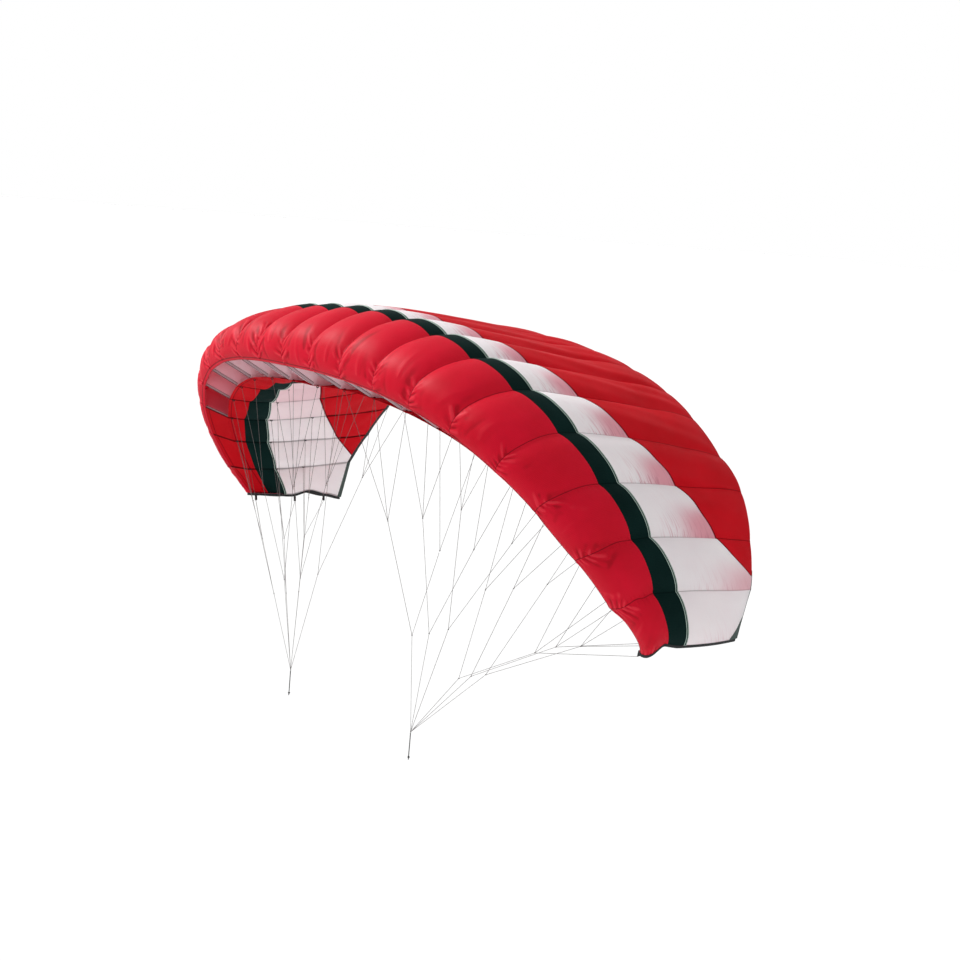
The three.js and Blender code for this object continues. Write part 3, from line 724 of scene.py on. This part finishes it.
def woven_material(name, colour, light, pitch):
    """Woven tape or braided cord: a small diagonal weave in its own colour."""
    material, tree = new_material(name)
    place = shader_node(tree, "TexCoord").outputs["Object"]
    weave = []
    for turn in (0.0, math.pi / 2):
        turned = shader_node(tree, "Mapping", {"Vector": place, "Rotation": (0, turn, turn)}).outputs[0]
        weave.append(shader_node(tree, "TexWave", {
            "Vector": turned, "Scale": WEAVE["waves"] / pitch, "Distortion": WEAVE["distortion"]},
            bands_direction="DIAGONAL", wave_profile="SIN").outputs["Fac"])
    both = times(tree, *weave)
    body = blend_colours(tree, both, (*colour, 1), (*light, 1))
    bump = shader_node(tree, "Bump", {
        "Strength": WEAVE["strength"], "Distance": WEAVE["deep"], "Height": both}).outputs[0]
    surface = principled(tree, body, WEAVE["roughness"], WEAVE["gloss"], Normal=bump)
    shader_node(tree, "OutputMaterial", {"Surface": surface})
    return material


RED = (0.70, 0.0045, 0.030)
RED_DEEP = (0.62, 0.0035, 0.022)
REAR_RED = (0.66, 0.006, 0.016)
REAR_RED_DEEP = (0.58, 0.005, 0.012)
# The same front red cloth, painted darker as shade for the lower skin and the closed noses
RED_PAINTED_SHADE_BELOW = (0.50, 0.005, 0.011)
DARK = (0.0022, 0.014, 0.0125)
DARK_DEEP = (0.0012, 0.009, 0.008)
WHITE = (0.94, 0.92, 0.93)
WHITE_DEEP = (0.91, 0.87, 0.89)
# The ribs are white cloth; their pink tint is painted light that comes through the red skins
RIB = (0.97, 0.82, 0.87)
RIB_DEEP = (0.95, 0.76, 0.83)

# Marks of the cloth: value name, middle, half width, soft edge, colour and strength
HEM_LINE = ("lip", 0.0165, 0.0015, 0.0014, (0.20, 0.002, 0.008), 0.9)
# Painted highlight on the ridges of the creases and painted shade in their troughs, over the real bumps of
# the creases
FOLD_PAINTED_HIGHLIGHT = ("fold", 1.5, 0.5, 0.8, (0.95, 0.07, 0.11), 0.38)
FOLD_PAINTED_SHADE = ("fold", -1.4, 0.7, 0.6, (0.36, 0.002, 0.010), 0.6)
FOLD_SHADE = ("edge", 0.0, 0.0012, 0.003, (0.25, 0.003, 0.006), 0.8)
# Painted red light on the ribs near the tips, where light comes through the red cloth
RIB_PAINTED_RED_LIGHT = ("glow", 1.0, 0.0, 1.0, (0.98, 0.16, 0.27), 1.0)
SEAM_SHADE = ("edge", 0.0, 0.006, 0.006, (0.10, 0.002, 0.006), 0.9)
# Painted pink light on the white cloth, where red light comes through and bounces inside the cells
WHITE_PAINTED_PINK_LIGHT = ("painted_pink_light", 1.0, 0.05, 0.95, (0.80, 0.35, 0.42), 0.9)

red_cloth = cloth_material("red ripstop", RED, RED_DEEP, (FOLD_PAINTED_HIGHLIGHT, FOLD_PAINTED_SHADE, HEM_LINE, FOLD_SHADE),
                           gloss=0.11, roughness=0.5)
# Front red below: the red cloth with painted shade, darker than above
red_below = cloth_material("red ripstop below", RED_PAINTED_SHADE_BELOW, REAR_RED_DEEP, (HEM_LINE,),
                           seam_tone=0.15, gloss=0.02)
rear_red_cloth = cloth_material("rear red ripstop", REAR_RED, REAR_RED_DEEP, (SEAM_SHADE,), gloss=0.02)
rear_red_below = cloth_material("rear red ripstop below", REAR_RED, REAR_RED_DEEP, (SEAM_SHADE,),
                                seam_tone=0.15, gloss=0.02)
dark_cloth = cloth_material("dark ripstop", DARK, DARK_DEEP, through=0.05, seam_tone=0.6, roughness=0.6,
                            gloss=0.02)
white_cloth = cloth_material("white ripstop", WHITE, WHITE_DEEP, (WHITE_PAINTED_PINK_LIGHT,), pleats=True, seam_tone=0.5)
rib_cloth = cloth_material("rib ripstop", RIB, RIB_DEEP, (RIB_PAINTED_RED_LIGHT,), through=0.6, seam_tone=0.9)
LOOKS = {}
for prefix, front, rear in (("upper", red_cloth, rear_red_cloth), ("lower", red_below, rear_red_below)):
    LOOKS[prefix] = {"front_red": (front, "red_cloth"), "stripe_dark": (dark_cloth, "dark_cloth"),
                     "band_white": (white_cloth, "white_cloth"), "rear_red": (rear, "rear_red_cloth")}
black_tape = woven_material("black tape", (0.006, 0.007, 0.008), (0.028, 0.030, 0.032), 0.0016)
grey_tape = woven_material("grey green tape", (0.030, 0.050, 0.044), (0.075, 0.10, 0.09), 0.0016)
rib_tape = woven_material("grey rib tape", (0.50, 0.40, 0.43), (0.68, 0.58, 0.61), 0.0016)
piping_cord = woven_material("piping", (0.30, 0.40, 0.35), (0.46, 0.55, 0.49), 0.0012)
line_cord = woven_material("grey line", (0.10, 0.09, 0.09), (0.22, 0.20, 0.19), 0.0012)


# Skins

def no_relief(cell, a, s, back):
    return np.zeros_like(a), np.zeros_like(a)


def lip_hem(s):
    return HEM["up"] * (1 - smoothstep(s, HEM["wide"] - HEM["soft"], HEM["wide"] + HEM["soft"]))


def upper_relief(cell, a, s, back):
    width = cell_width(cell)
    front = SEAMS_ABOVE["stripe_rear"]["root"]
    on_front = 1 - smoothstep(back, front, front + 0.1)
    folds = upper_creases(cell, a, s)
    height = folds + pucker(a, s, width, cell) * (0.35 + 0.65 * on_front) + lip_hem(s)
    rear = REAR_WAVE["up"] * waves(a * 1.3 + s * 0.2, REAR_WAVE["pitch"], CREASE_SEED * 3 + cell)
    return height + rear * smoothstep(back, 0.35, 0.6) * (1 - smoothstep(back, 0.93, 1.0)), folds


def lower_relief(cell, a, s, back):
    width = cell_width(cell)
    slack = LOWER_WAVE["up"] * waves(a * 0.8 + s * 0.5, LOWER_WAVE["pitch"], CREASE_SEED * 5 + cell)
    ends = smoothstep(s, 0, 0.03) * (1 - smoothstep(back, 0.93, 1.0))
    return (slack + 0.5 * pucker(a, s, width, cell)) * ends + lip_hem(s), np.zeros_like(a)


upper_skin = skin(0, CELLS, rows_above, SWELL_ABOVE, UPPER_LIP, 1, upper_relief)
lower_skin = skin(0, CELLS, rows_below, SWELL_BELOW, LOWER_LIP, -1, lower_relief)
LAST_COLUMN = CELLS * COLUMNS
MEET_COLUMN = MEET_CELL * COLUMNS + int(np.searchsorted(SHARES, MEET_SHARE))
SEAM_LINE = {1: 0.0016, -1: 0.0060}
# Painted pink light on the white of the lower skin, strongest in the middle cells
PAINTED_PINK_LIGHT_BELOW = {"strength": 0.45, "from": 5.5, "to": 8.0}


def painted_pink_light(band, face):
    """Painted pink light on the white, for red light that comes through and bounces inside the cells:
    above towards its rear edge and the rib on the tip's side, below in the cells away from the tips."""
    if face < 0:
        rule = PAINTED_PINK_LIGHT_BELOW
        from_middle = abs(band["cell"] + 0.5 - (CELLS - 1) / 2)
        return rule["strength"] * (1 - smoothstep(from_middle, rule["from"], rule["to"]))
    share, edge_cell, rear = seen_from_tip(band)
    tone = smoothstep(rear, 0.2, 0.95) * (1 - smoothstep(share, 0.15, 0.8))
    return tone * np.where(edge_cell == 0, 0.1, np.where(edge_cell == 1, 0.6, 1.0))


def add_band(name, cloth, rows, columns, material, nodes, face):
    """One colour band of a skin as a thin sheet."""
    band = {key: values[columns[0]:columns[1] + 1, rows[0]:rows[1] + 1] for key, values in cloth.items()}
    points = band["points"]
    piece = add_mesh(name, points, grid_faces(*points.shape[:2], face), material)
    write_map(piece, "cloth", band["across"], band["along"])
    write_value(piece, "seam", band["seam"] / SEAM_LINE[face])
    write_value(piece, "lip", band["along"])
    write_value(piece, "edge", band["along"] - band["along"][:, :1])
    write_value(piece, "painted_pink_light", painted_pink_light(band, face))
    write_value(piece, "pleat", pleated(band, face))
    write_value(piece, "fold", band["fold"] / FOLD_UNIT * smoothstep(band["along"], 0.012, 0.02))
    thicken(piece, CLOTH)
    smooth(piece)
    hand_over(piece, nodes)


def add_skin(prefix, cloth, rows, lead, face):
    """The colour bands of a skin; returns the rows where they meet."""
    stops = lead + np.cumsum([0] + [rows[name] for name in LOOKS[prefix]])
    for i, (name, (material, slot)) in enumerate(LOOKS[prefix].items()):
        ends = (MEET_COLUMN, LAST_COLUMN - MEET_COLUMN) if name == "rear_red" else (0, LAST_COLUMN)
        first = 0 if i == 0 else stops[i]
        node = prefix + "_" + name
        for part, start, end in PARTS if name in PARTED[prefix] else (("", 0, CELLS),):
            span = (max(start * COLUMNS, ends[0]), min(end * COLUMNS, ends[1]))
            add_band(node + part + "_cloth", cloth, (first, stops[i + 1]), span, material,
                     [node + part], face)
    return stops


upper_stops = add_skin("upper", upper_skin, ROWS_ABOVE, ROWS_ABOVE["nose"], 1)
lower_stops = add_skin("lower", lower_skin, ROWS_BELOW, 0, -1)

for name, first_rib, last_rib in (("right", 0, CLOSED_TIP_CELLS), ("left", CELLS - CLOSED_TIP_CELLS, CELLS)):
    panel = skin(first_rib, last_rib, rows_of_nose_panel, SWELL_NOSE, UPPER_LIP, -1, no_relief)
    add_band("nose_panel_" + name + "_cloth", panel, (0, NOSE_PANEL_ROWS), (0, len(panel["points"]) - 1),
             red_below, ["nose_panel_" + name], -1)

# Tail tapes
tape_rows = (lower_stops[-1], lower_stops[-1] + ROWS_BELOW["tail_tape"])
for name, first, last, material, slot in (
        ("tail_corner_tape_right", 0, COLUMNS, grey_tape, "grey_tape"),
        ("tail_tape", COLUMNS, LAST_COLUMN - COLUMNS, black_tape, "black_tape"),
        ("tail_corner_tape_left", LAST_COLUMN - COLUMNS, LAST_COLUMN, grey_tape, "grey_tape")):
    add_band(name + "_woven", lower_skin, tape_rows, (first, last), material, [name], -1)


# Ribs

RIB_STEPS = 9
RIB_ROWS = 70
# How red a rib looks in the light that comes through the red cloth, counted from its tip
RIB_GLOW = {0: 1.0, 1: 1.0, 2: 1.0, 3: 0.75, 4: 0.5, 5: 0.3}
NO_SEAM = 9.0
SAME_POINT = 1e-6
# Strips of the folded tape at a rib's front: start, width and thickness
FRONT_TAPE = ((0.0, 0.013, 0.0026),)
TAPE_BORDERS = ((-0.0006, 0.0020, 0.0032), (0.0114, 0.0022, 0.0032))


def cut_rows(points, end):
    """Section points up to a share of the chord."""
    kept = points[points[:, 0] < end]
    last = points[len(kept)]
    share = (end - kept[-1, 0]) / (last[0] - kept[-1, 0])
    return np.vstack((kept, kept[-1] + (last - kept[-1]) * share))


def spaced(points, count):
    """The same line with evenly spaced points."""
    steps = np.concatenate(([0], np.cumsum(np.linalg.norm(np.diff(points, axis=0), axis=1))))
    at = np.linspace(0, steps[-1], count)
    return np.stack([np.interp(at, steps, points[:, i]) for i in range(2)], axis=1)


def rib_edges(rib):
    """Upper edge of a rib from the lip to the tail, and its taped front edge with the lower edge."""
    span, chord = SPANS[rib], RIBS[rib]["chord"]
    top = spaced(cut_rows(rows_above(span, chord), RIB_TAIL_BACK), RIB_ROWS)
    bottom = spaced(np.vstack((UPPER_LIP, cut_rows(rows_below(span, chord), RIB_TAIL_BACK))), RIB_ROWS)
    inset = RIB_INSET / chord
    middle = (top + bottom) / 2
    gap = np.maximum(np.linalg.norm(top - bottom, axis=1, keepdims=True), 1e-9)
    shrink = np.minimum(inset / gap, 0.4)
    return top + (middle - top) * 2 * shrink, bottom + (middle - bottom) * 2 * shrink


def add_rib(rib):
    top, bottom = rib_edges(rib)
    share = np.linspace(0, 1, RIB_STEPS + 1)[:, None, None]
    section = top + (bottom - top) * share
    points = place_on_rib(RIBS[rib], section)
    piece = add_mesh("rib_%02d_cloth" % rib, points, grid_faces(RIB_STEPS + 1, RIB_ROWS, 1), rib_cloth)
    cut = section * RIBS[rib]["chord"]
    write_map(piece, "cloth", cut[..., 0], cut[..., 1])
    write_value(piece, "seam", np.full(section.shape[:2], NO_SEAM))
    write_value(piece, "glow", np.full(section.shape[:2], RIB_GLOW.get(min(rib, CELLS - rib), 0.0)))
    edit_mesh(piece, (bpy.ops.mesh.remove_doubles, {"threshold": SAME_POINT}))
    thicken(piece, CLOTH)
    smooth(piece)
    hand_over(piece, ["rib_%02d" % rib])
    points.swapaxes(0, 1)


def add_rib_strip(rib, start, wide, thick, material):
    """One strip of the tape that is folded over the front edge of a rib, between the lips."""
    frame_of = RIBS[rib]
    ends = place_on_rib(frame_of, np.stack((UPPER_LIP, LOWER_LIP)))
    down = unit(ends[1] - ends[0])
    inward = unit(frame_of["along"] - down * (frame_of["along"] @ down))
    piece = add_block((wide, thick, np.linalg.norm(ends[1] - ends[0]) - 0.002), thick / 3, 2)
    put(piece, ends.mean(axis=0) + inward * (start + wide / 2),
        turned_to(inward, np.cross(down, inward), down), material)
    return piece


for rib in range(CELLS + 1):
    add_rib(rib)
for name, strips, material, slot in (
        ("rib_front_tapes", FRONT_TAPE, rib_tape, "rib_cloth"),
        ("rib_tape_borders", TAPE_BORDERS, black_tape, "black_tape")):
    tapes = [add_rib_strip(rib, *strip, material) for strip in strips
             for rib in range(CLOSED_TIP_CELLS, CELLS - CLOSED_TIP_CELLS + 1)]
    tapes = join(tapes, name)
    smooth(tapes)
    hand_over(tapes)


# Piping along the rear edge of the dark stripe

PIPE = {"radius": 0.0015, "before": (0.0095, 0.0005), "lift": 0.0014}


def add_line(name, routes, radius, material, sides=1):
    """Round cords along routes of points, as one mesh."""
    curve = bpy.data.curves.new(name, "CURVE")
    curve.dimensions = "3D"
    curve.bevel_depth = radius
    curve.bevel_resolution = sides
    curve.use_fill_caps = True
    for route in routes:
        spline = curve.splines.new("POLY")
        spline.points.add(len(route) - 1)
        places = np.column_stack((route, np.ones(len(route))))
        spline.points.foreach_set("co", places.astype(np.float32).ravel())
    piece = bpy.data.objects.new(name, curve)
    bpy.context.collection.objects.link(piece)
    activate(piece)
    bpy.ops.object.convert(target="MESH")
    piece = bpy.context.object
    piece.data.materials.append(material)
    smooth(piece, 60)
    return piece


def along_row(cloth, row, behind, lift):
    """A route across the span beside one row of a skin."""
    points, normals = cloth["points"][:, row], cloth["normals"][:, row]
    rearward = unit(cloth["points"][:, row] - cloth["points"][:, row - 1])
    return points + rearward * behind + normals * lift


for prefix, cloth, stops in (("upper", upper_skin, upper_stops), ("lower", lower_skin, lower_stops)):
    routes = [along_row(cloth, stops[2], -before, PIPE["lift"]) for before in PIPE["before"]]
    piping = add_line(prefix + "_piping", routes, PIPE["radius"], piping_cord)
    hand_over(piping)

# Dark edging along the tail where white runs out, and grey patches over the tail corners of the tips
EDGING = {"radius": 0.0016, "lift": 0.0006, "past": 4}
PATCH = {"across": 0.46, "along": 0.10, "steps": 8, "lift": 0.0013, "same_point": 1e-5}
tail_line = along_row(upper_skin, -1, 0, EDGING["lift"])
for word, columns in (("right", slice(0, MEET_COLUMN + EDGING["past"])),
                      ("left", slice(LAST_COLUMN - MEET_COLUMN - EDGING["past"], None))):
    edging = add_line("tail_edging_" + word, [tail_line[columns]], EDGING["radius"], grey_tape)
    hand_over(edging)


def on_cloth(cloth, cell, share, back):
    """A point on a skin and its normal, at a share across a cell and along the chord."""
    column = cell * COLUMNS + np.interp(share, np.append(SHARES, 1), np.arange(COLUMNS + 1))
    near = min(int(column), LAST_COLUMN - 1)
    found = []
    for index in (near, near + 1):
        rows = cloth["back"][index, ROWS_ABOVE["nose"]:]
        row = ROWS_ABOVE["nose"] + np.interp(back, rows, np.arange(len(rows)))
        below = min(int(row), cloth["back"].shape[1] - 2)
        past = row - below
        found.append([cloth[name][index, below] * (1 - past) + cloth[name][index, below + 1] * past
                      for name in ("points", "normals")])
    return [first * (1 - column + near) + second * (column - near) for first, second in zip(*found)]


def add_corner_patch(word, cell, from_left):
    """A three-cornered patch of tape over the tail corner of a tip."""
    steps = PATCH["steps"]
    points = np.empty((steps + 1, steps + 1, 3))
    for i in range(steps + 1):
        for j in range(steps + 1):
            across = PATCH["across"] * i / steps
            back = 1 - PATCH["along"] * (1 - i / steps) * j / steps
            point, normal = on_cloth(upper_skin, cell, 1 - across if from_left else across, back)
            points[i, j] = point + normal * PATCH["lift"]
    faces = grid_faces(steps + 1, steps + 1, 1 if from_left else -1)
    piece = add_mesh("corner_patch_" + word, points, faces, grey_tape)
    edit_mesh(piece, (bpy.ops.mesh.remove_doubles, {"threshold": PATCH["same_point"]}))
    thicken(piece, CLOTH)
    hand_over(piece)


add_corner_patch("right", 0, False)
add_corner_patch("left", CELLS - 1, True)


# Tip bindings, tabs, bridle and leaders

TAB = {"width": 0.014, "length": 0.026, "thickness": 0.003, "bevel": 0.0012}
LOOP = {"major_radius": 0.0055, "minor_radius": 0.0021, "major_segments": 14, "minor_segments": 6}
SEAM_GAP = 0.0003
RIB_THICKNESS = 0.0012
SKIN_THICKNESS = 0.0016
LINE_RADIUS = 0.0012
KNOT_RADIUS = 0.0034
LINE_SHARE = 0.8
BRIDLE_ROWS = (
    {"name": "front", "back": 0.14, "tab_back": 0.06},
    {"name": "middle", "back": 0.34, "tab_back": 0.45},
    {"name": "rear", "back": 0.565, "tab_back": 0.81},
)
RIB_GROUPS = ((0, 1, 2), (3, 4), (5, 6), (7, 8, 9))
GROUP_PAIRS = ((0, 1), (2, 3))
UPPER_LINE_SHARE = 0.36
MIDDLE_LINE_SHARE = 0.5
LEADER = {"radius": 0.0024, "length": 0.110, "knot": 0.006, "slimmer": 0.9, "drawn_in": 0.62}


def add_tip_binding(name, rib, side):
    """Black tape folded around the edge of a tip rib."""
    top, bottom = rib_edges(rib)
    outline = np.vstack((top[::-1], bottom[1:])) * RIBS[rib]["chord"]
    run = unit(np.gradient(outline, axis=0))
    outward = np.stack((run[:, 1], -run[:, 0]), axis=1)
    near, depth, half = BINDING["near"], BINDING["depth"], BINDING["half"]
    ring = [(half * x, near + depth * y) for x, y in (
        (-1, 0), (-1, 0.5), (-0.9, 0.85), (-0.5, 1), (0.5, 1), (0.9, 0.85), (1, 0.5), (1, 0))]
    points = []
    for across, beyond in ring:
        flat = outline + outward * across
        here = place_on_rib(RIBS[rib], flat / RIBS[rib]["chord"])
        points.append(here + RIBS[rib]["side"] * beyond * side)
    points = np.stack(points, axis=0)
    columns, rows = points.shape[:2]
    faces = grid_faces(columns, rows, side)
    wall = [[(columns - 1) * rows + i, (columns - 1) * rows + i + 1, i + 1, i] for i in range(rows - 1)]
    faces += wall if side > 0 else [face[::-1] for face in wall]
    ends = [[c * rows for c in range(columns)], [c * rows + rows - 1 for c in range(columns)][::-1]]
    faces += ends if side < 0 else [face[::-1] for face in ends]
    piece = add_mesh(name + "_woven", points, faces, black_tape)
    edit_mesh(piece, (bpy.ops.mesh.normals_make_consistent, {"inside": False}))
    smooth(piece, 50)
    hand_over(piece, [name])


add_tip_binding("tip_binding_right", 0, 1)
add_tip_binding("tip_binding_left", CELLS, -1)


def lower_edge_point(back):
    if back >= LOWER_LIP_BACK:
        return lower_points(back)[0]
    return UPPER_LIP + (LOWER_LIP - UPPER_LIP) * (back - UPPER_LIP[0]) / (LOWER_LIP[0] - UPPER_LIP[0])


def add_tab(name, rib, side, back):
    """A folded webbing tab under a tip; returns where its line is tied."""
    frame_of = RIBS[rib]
    down = frame_of["side"] * side
    root = place_on_rib(frame_of, lower_edge_point(back))
    gap = RIB_THICKNESS / 2 + SEAM_GAP + BINDING["depth"] + SEAM_GAP
    piece = add_block((TAB["width"], TAB["thickness"], TAB["length"]), TAB["bevel"], 3, cuts=2)
    axes = turned_to(frame_of["along"], unit(np.cross(down, frame_of["along"])), down)
    put(piece, root + down * (gap + TAB["length"] / 2), axes, black_tape)
    piece.name = name + "_woven"
    smooth(piece, 50)
    hand_over(piece, [name])
    return root + down * (gap + TAB["length"] + LINE_RADIUS + SEAM_GAP)


def line_root(rib, back):
    clear = SEAM_GAP + SKIN_THICKNESS + LINE_RADIUS + SEAM_GAP
    return place_on_rib(RIBS[rib], lower_points(back))[0] - RIBS[rib]["out"] * clear


def add_bridle_loops():
    """Small black loops under the ribs, where the lines are tied."""
    upright = Matrix.Rotation(math.pi / 2, 4, "Y")
    loops = []
    for rib in range(1, CELLS):
        for row in BRIDLE_ROWS:
            bpy.ops.mesh.primitive_torus_add(**LOOP)
            loops.append(bpy.context.object)
            axes = turned_to(*(RIBS[rib][way] for way in ("side", "along", "out"))) @ upright
            put(loops[-1], line_root(rib, row["back"]), axes, black_tape)
    loops = join(loops, "bridle_loops")
    smooth(loops, 60)
    hand_over(loops)


def knot_route(at, size, turns=48):
    """An overhand knot drawn as a small trefoil around a point."""
    t = np.linspace(0, 2 * math.pi, turns)
    shape = np.stack((np.sin(t) + 2 * np.sin(2 * t), np.cos(t) - 2 * np.cos(2 * t), -np.sin(3 * t)), axis=1)
    return at + shape * size / 3


def add_bridle(name, side, tab_ends):
    """Half of the bridle: short lines gather in knots, those in two more, and all meet at the tow point."""
    tow = np.array((TOW_HALF_SPACING * side, 0, 0))
    lines, knots = [], [tow]
    for row, tab_end in zip(BRIDLE_ROWS, tab_ends):
        joints = []
        for group in RIB_GROUPS:
            roots = [tab_end if rib == 0 else line_root(rib if side > 0 else CELLS - rib, row["back"])
                     for rib in group]
            joint = np.mean(roots, axis=0) * (1 - UPPER_LINE_SHARE) + tow * UPPER_LINE_SHARE
            lines += [(root, joint) for root in roots]
            joints.append(joint)
        for pair in GROUP_PAIRS:
            ends = [joints[index] for index in pair]
            joint = np.mean(ends, axis=0) * (1 - MIDDLE_LINE_SHARE) + tow * MIDDLE_LINE_SHARE
            lines += [(end, joint) for end in ends] + [(joint, tow)]
            knots.append(joint)
        knots += joints
    slimmer = LINE_SHARE * LINE_RADIUS
    cords = add_line(name + "_lines", [np.linspace(a, b, 9) for a, b in lines], slimmer, line_cord)
    ties = [knot_route(at, LINE_SHARE * KNOT_RADIUS) for at in knots]
    tied = add_line(name + "_knots", ties, slimmer, line_cord)
    piece = join([cords, tied], name + "_cords")
    hand_over(piece, [name])


def add_leader(name, side):
    """Leader under a tow point, with a stopper knot at its end."""
    tow = np.array((TOW_HALF_SPACING * side, 0, 0))
    top = tow - (0, 0, KNOT_RADIUS + SEAM_GAP)
    end = top - (0, 0, LEADER["length"] + 2 * LEADER["knot"])
    knot_at = top - (0, 0, LEADER["length"])
    routes = [np.linspace(top, end, 30), knot_route(knot_at, LEADER["knot"] * LEADER["drawn_in"])]
    piece = add_line(name + "_cord", routes, LEADER["radius"] * LEADER["slimmer"], black_tape, sides=3)
    hand_over(piece, [name])


add_bridle_loops()
for word, side, rib in (("right", 1, 0), ("left", -1, CELLS)):
    tab_ends = [add_tab("tip_tab_%s_%s" % (word, row["name"]), rib, side, row["tab_back"])
                for row in BRIDLE_ROWS]
    add_bridle("bridle_" + word, side, tab_ends)
    add_leader("leader_" + word, side)


# Floor, light and camera

FLOOR_DROP = 6.0
FLOOR_HALF = 400
FLOOR_TONE = (0.68, 0.68, 0.68, 1)
CAMERA = {"target": (0.5024, 0.28, 1.1077), "distance": 8.26, "azimuth": 54.57, "elevation": 8.43,
          "roll": 5.0, "sees_to": 1000}
FOCAL_PIXELS = 1881.9
FRAME_PIXELS = 960
SENSOR = 36
SUN = {"from": (-1.0, -0.50, 0.80), "strength": 3.6, "spread": 10}
SKY = {"backdrop": 1.0, "around": 0.86, "from": 0.80, "to": 0.90}
FILL = {"at": (0.4, -2.8, -2.6), "size": 5.0, "power": 60}

bpy.ops.mesh.primitive_plane_add(size=2 * FLOOR_HALF, location=(0, 0, -FLOOR_DROP))
floor = bpy.context.object
floor.name = "pale_floor"
settle(floor)
floor_material, floor_tree = new_material("pale floor")
shader_node(floor_tree, "OutputMaterial", {"Surface": principled(floor_tree, FLOOR_TONE, 0.9, 0.0)})
floor.data.materials.append(floor_material)


def view_back():
    """Direction from the target of the camera to the camera."""
    azimuth, elevation = math.radians(CAMERA["azimuth"]), math.radians(CAMERA["elevation"])
    return Vector((math.sin(azimuth) * math.cos(elevation), -math.cos(azimuth) * math.cos(elevation),
                   math.sin(elevation)))


def make_sky():
    """A soft surround with a white backdrop behind the kite."""
    world = bpy.data.worlds.new("studio")
    bpy.context.scene.world = world
    world.use_nodes = True
    tree = world.node_tree
    tree.nodes.clear()
    way = shader_node(tree, "TexCoord").outputs["Generated"]
    facing = shader_node(tree, "VectorMath", {0: way, 1: tuple(-view_back())}, operation="DOT_PRODUCT")
    strength = ramp(tree, facing.outputs["Value"], SKY["from"], SKY["to"], SKY["around"], SKY["backdrop"])
    glow = shader_node(tree, "Background", {"Color": (1, 1, 1, 1), "Strength": strength}).outputs[0]
    shader_node(tree, "OutputWorld", {"Surface": glow})


def make_sun():
    bpy.ops.object.light_add(type="SUN")
    sun = bpy.context.object
    sun.data.energy = SUN["strength"]
    sun.data.angle = math.radians(SUN["spread"])
    sun.rotation_euler = Vector(SUN["from"]).to_track_quat("Z", "Y").to_euler()


def make_fill():
    """A soft light below the kite that reaches under its arch."""
    bpy.ops.object.light_add(type="AREA", location=FILL["at"])
    fill = bpy.context.object
    fill.data.size, fill.data.energy = FILL["size"], FILL["power"]
    way = Vector(FILL["at"]) - Vector(CAMERA["target"])
    fill.rotation_euler = way.to_track_quat("Z", "Y").to_euler()


def make_camera():
    back = view_back()
    bpy.ops.object.camera_add(location=Vector(CAMERA["target"]) + back * CAMERA["distance"])
    camera = bpy.context.object
    turn = (-back).to_track_quat("-Z", "Y") @ Euler((0, 0, math.radians(CAMERA["roll"]))).to_quaternion()
    camera.rotation_euler = turn.to_euler()
    camera.data.sensor_width = SENSOR
    camera.data.lens = FOCAL_PIXELS / FRAME_PIXELS * SENSOR
    camera.data.clip_end = CAMERA["sees_to"]
    bpy.context.scene.camera = camera


make_sky()
make_sun()
make_fill()
make_camera()
bpy.context.scene.view_settings.view_transform = "Standard"
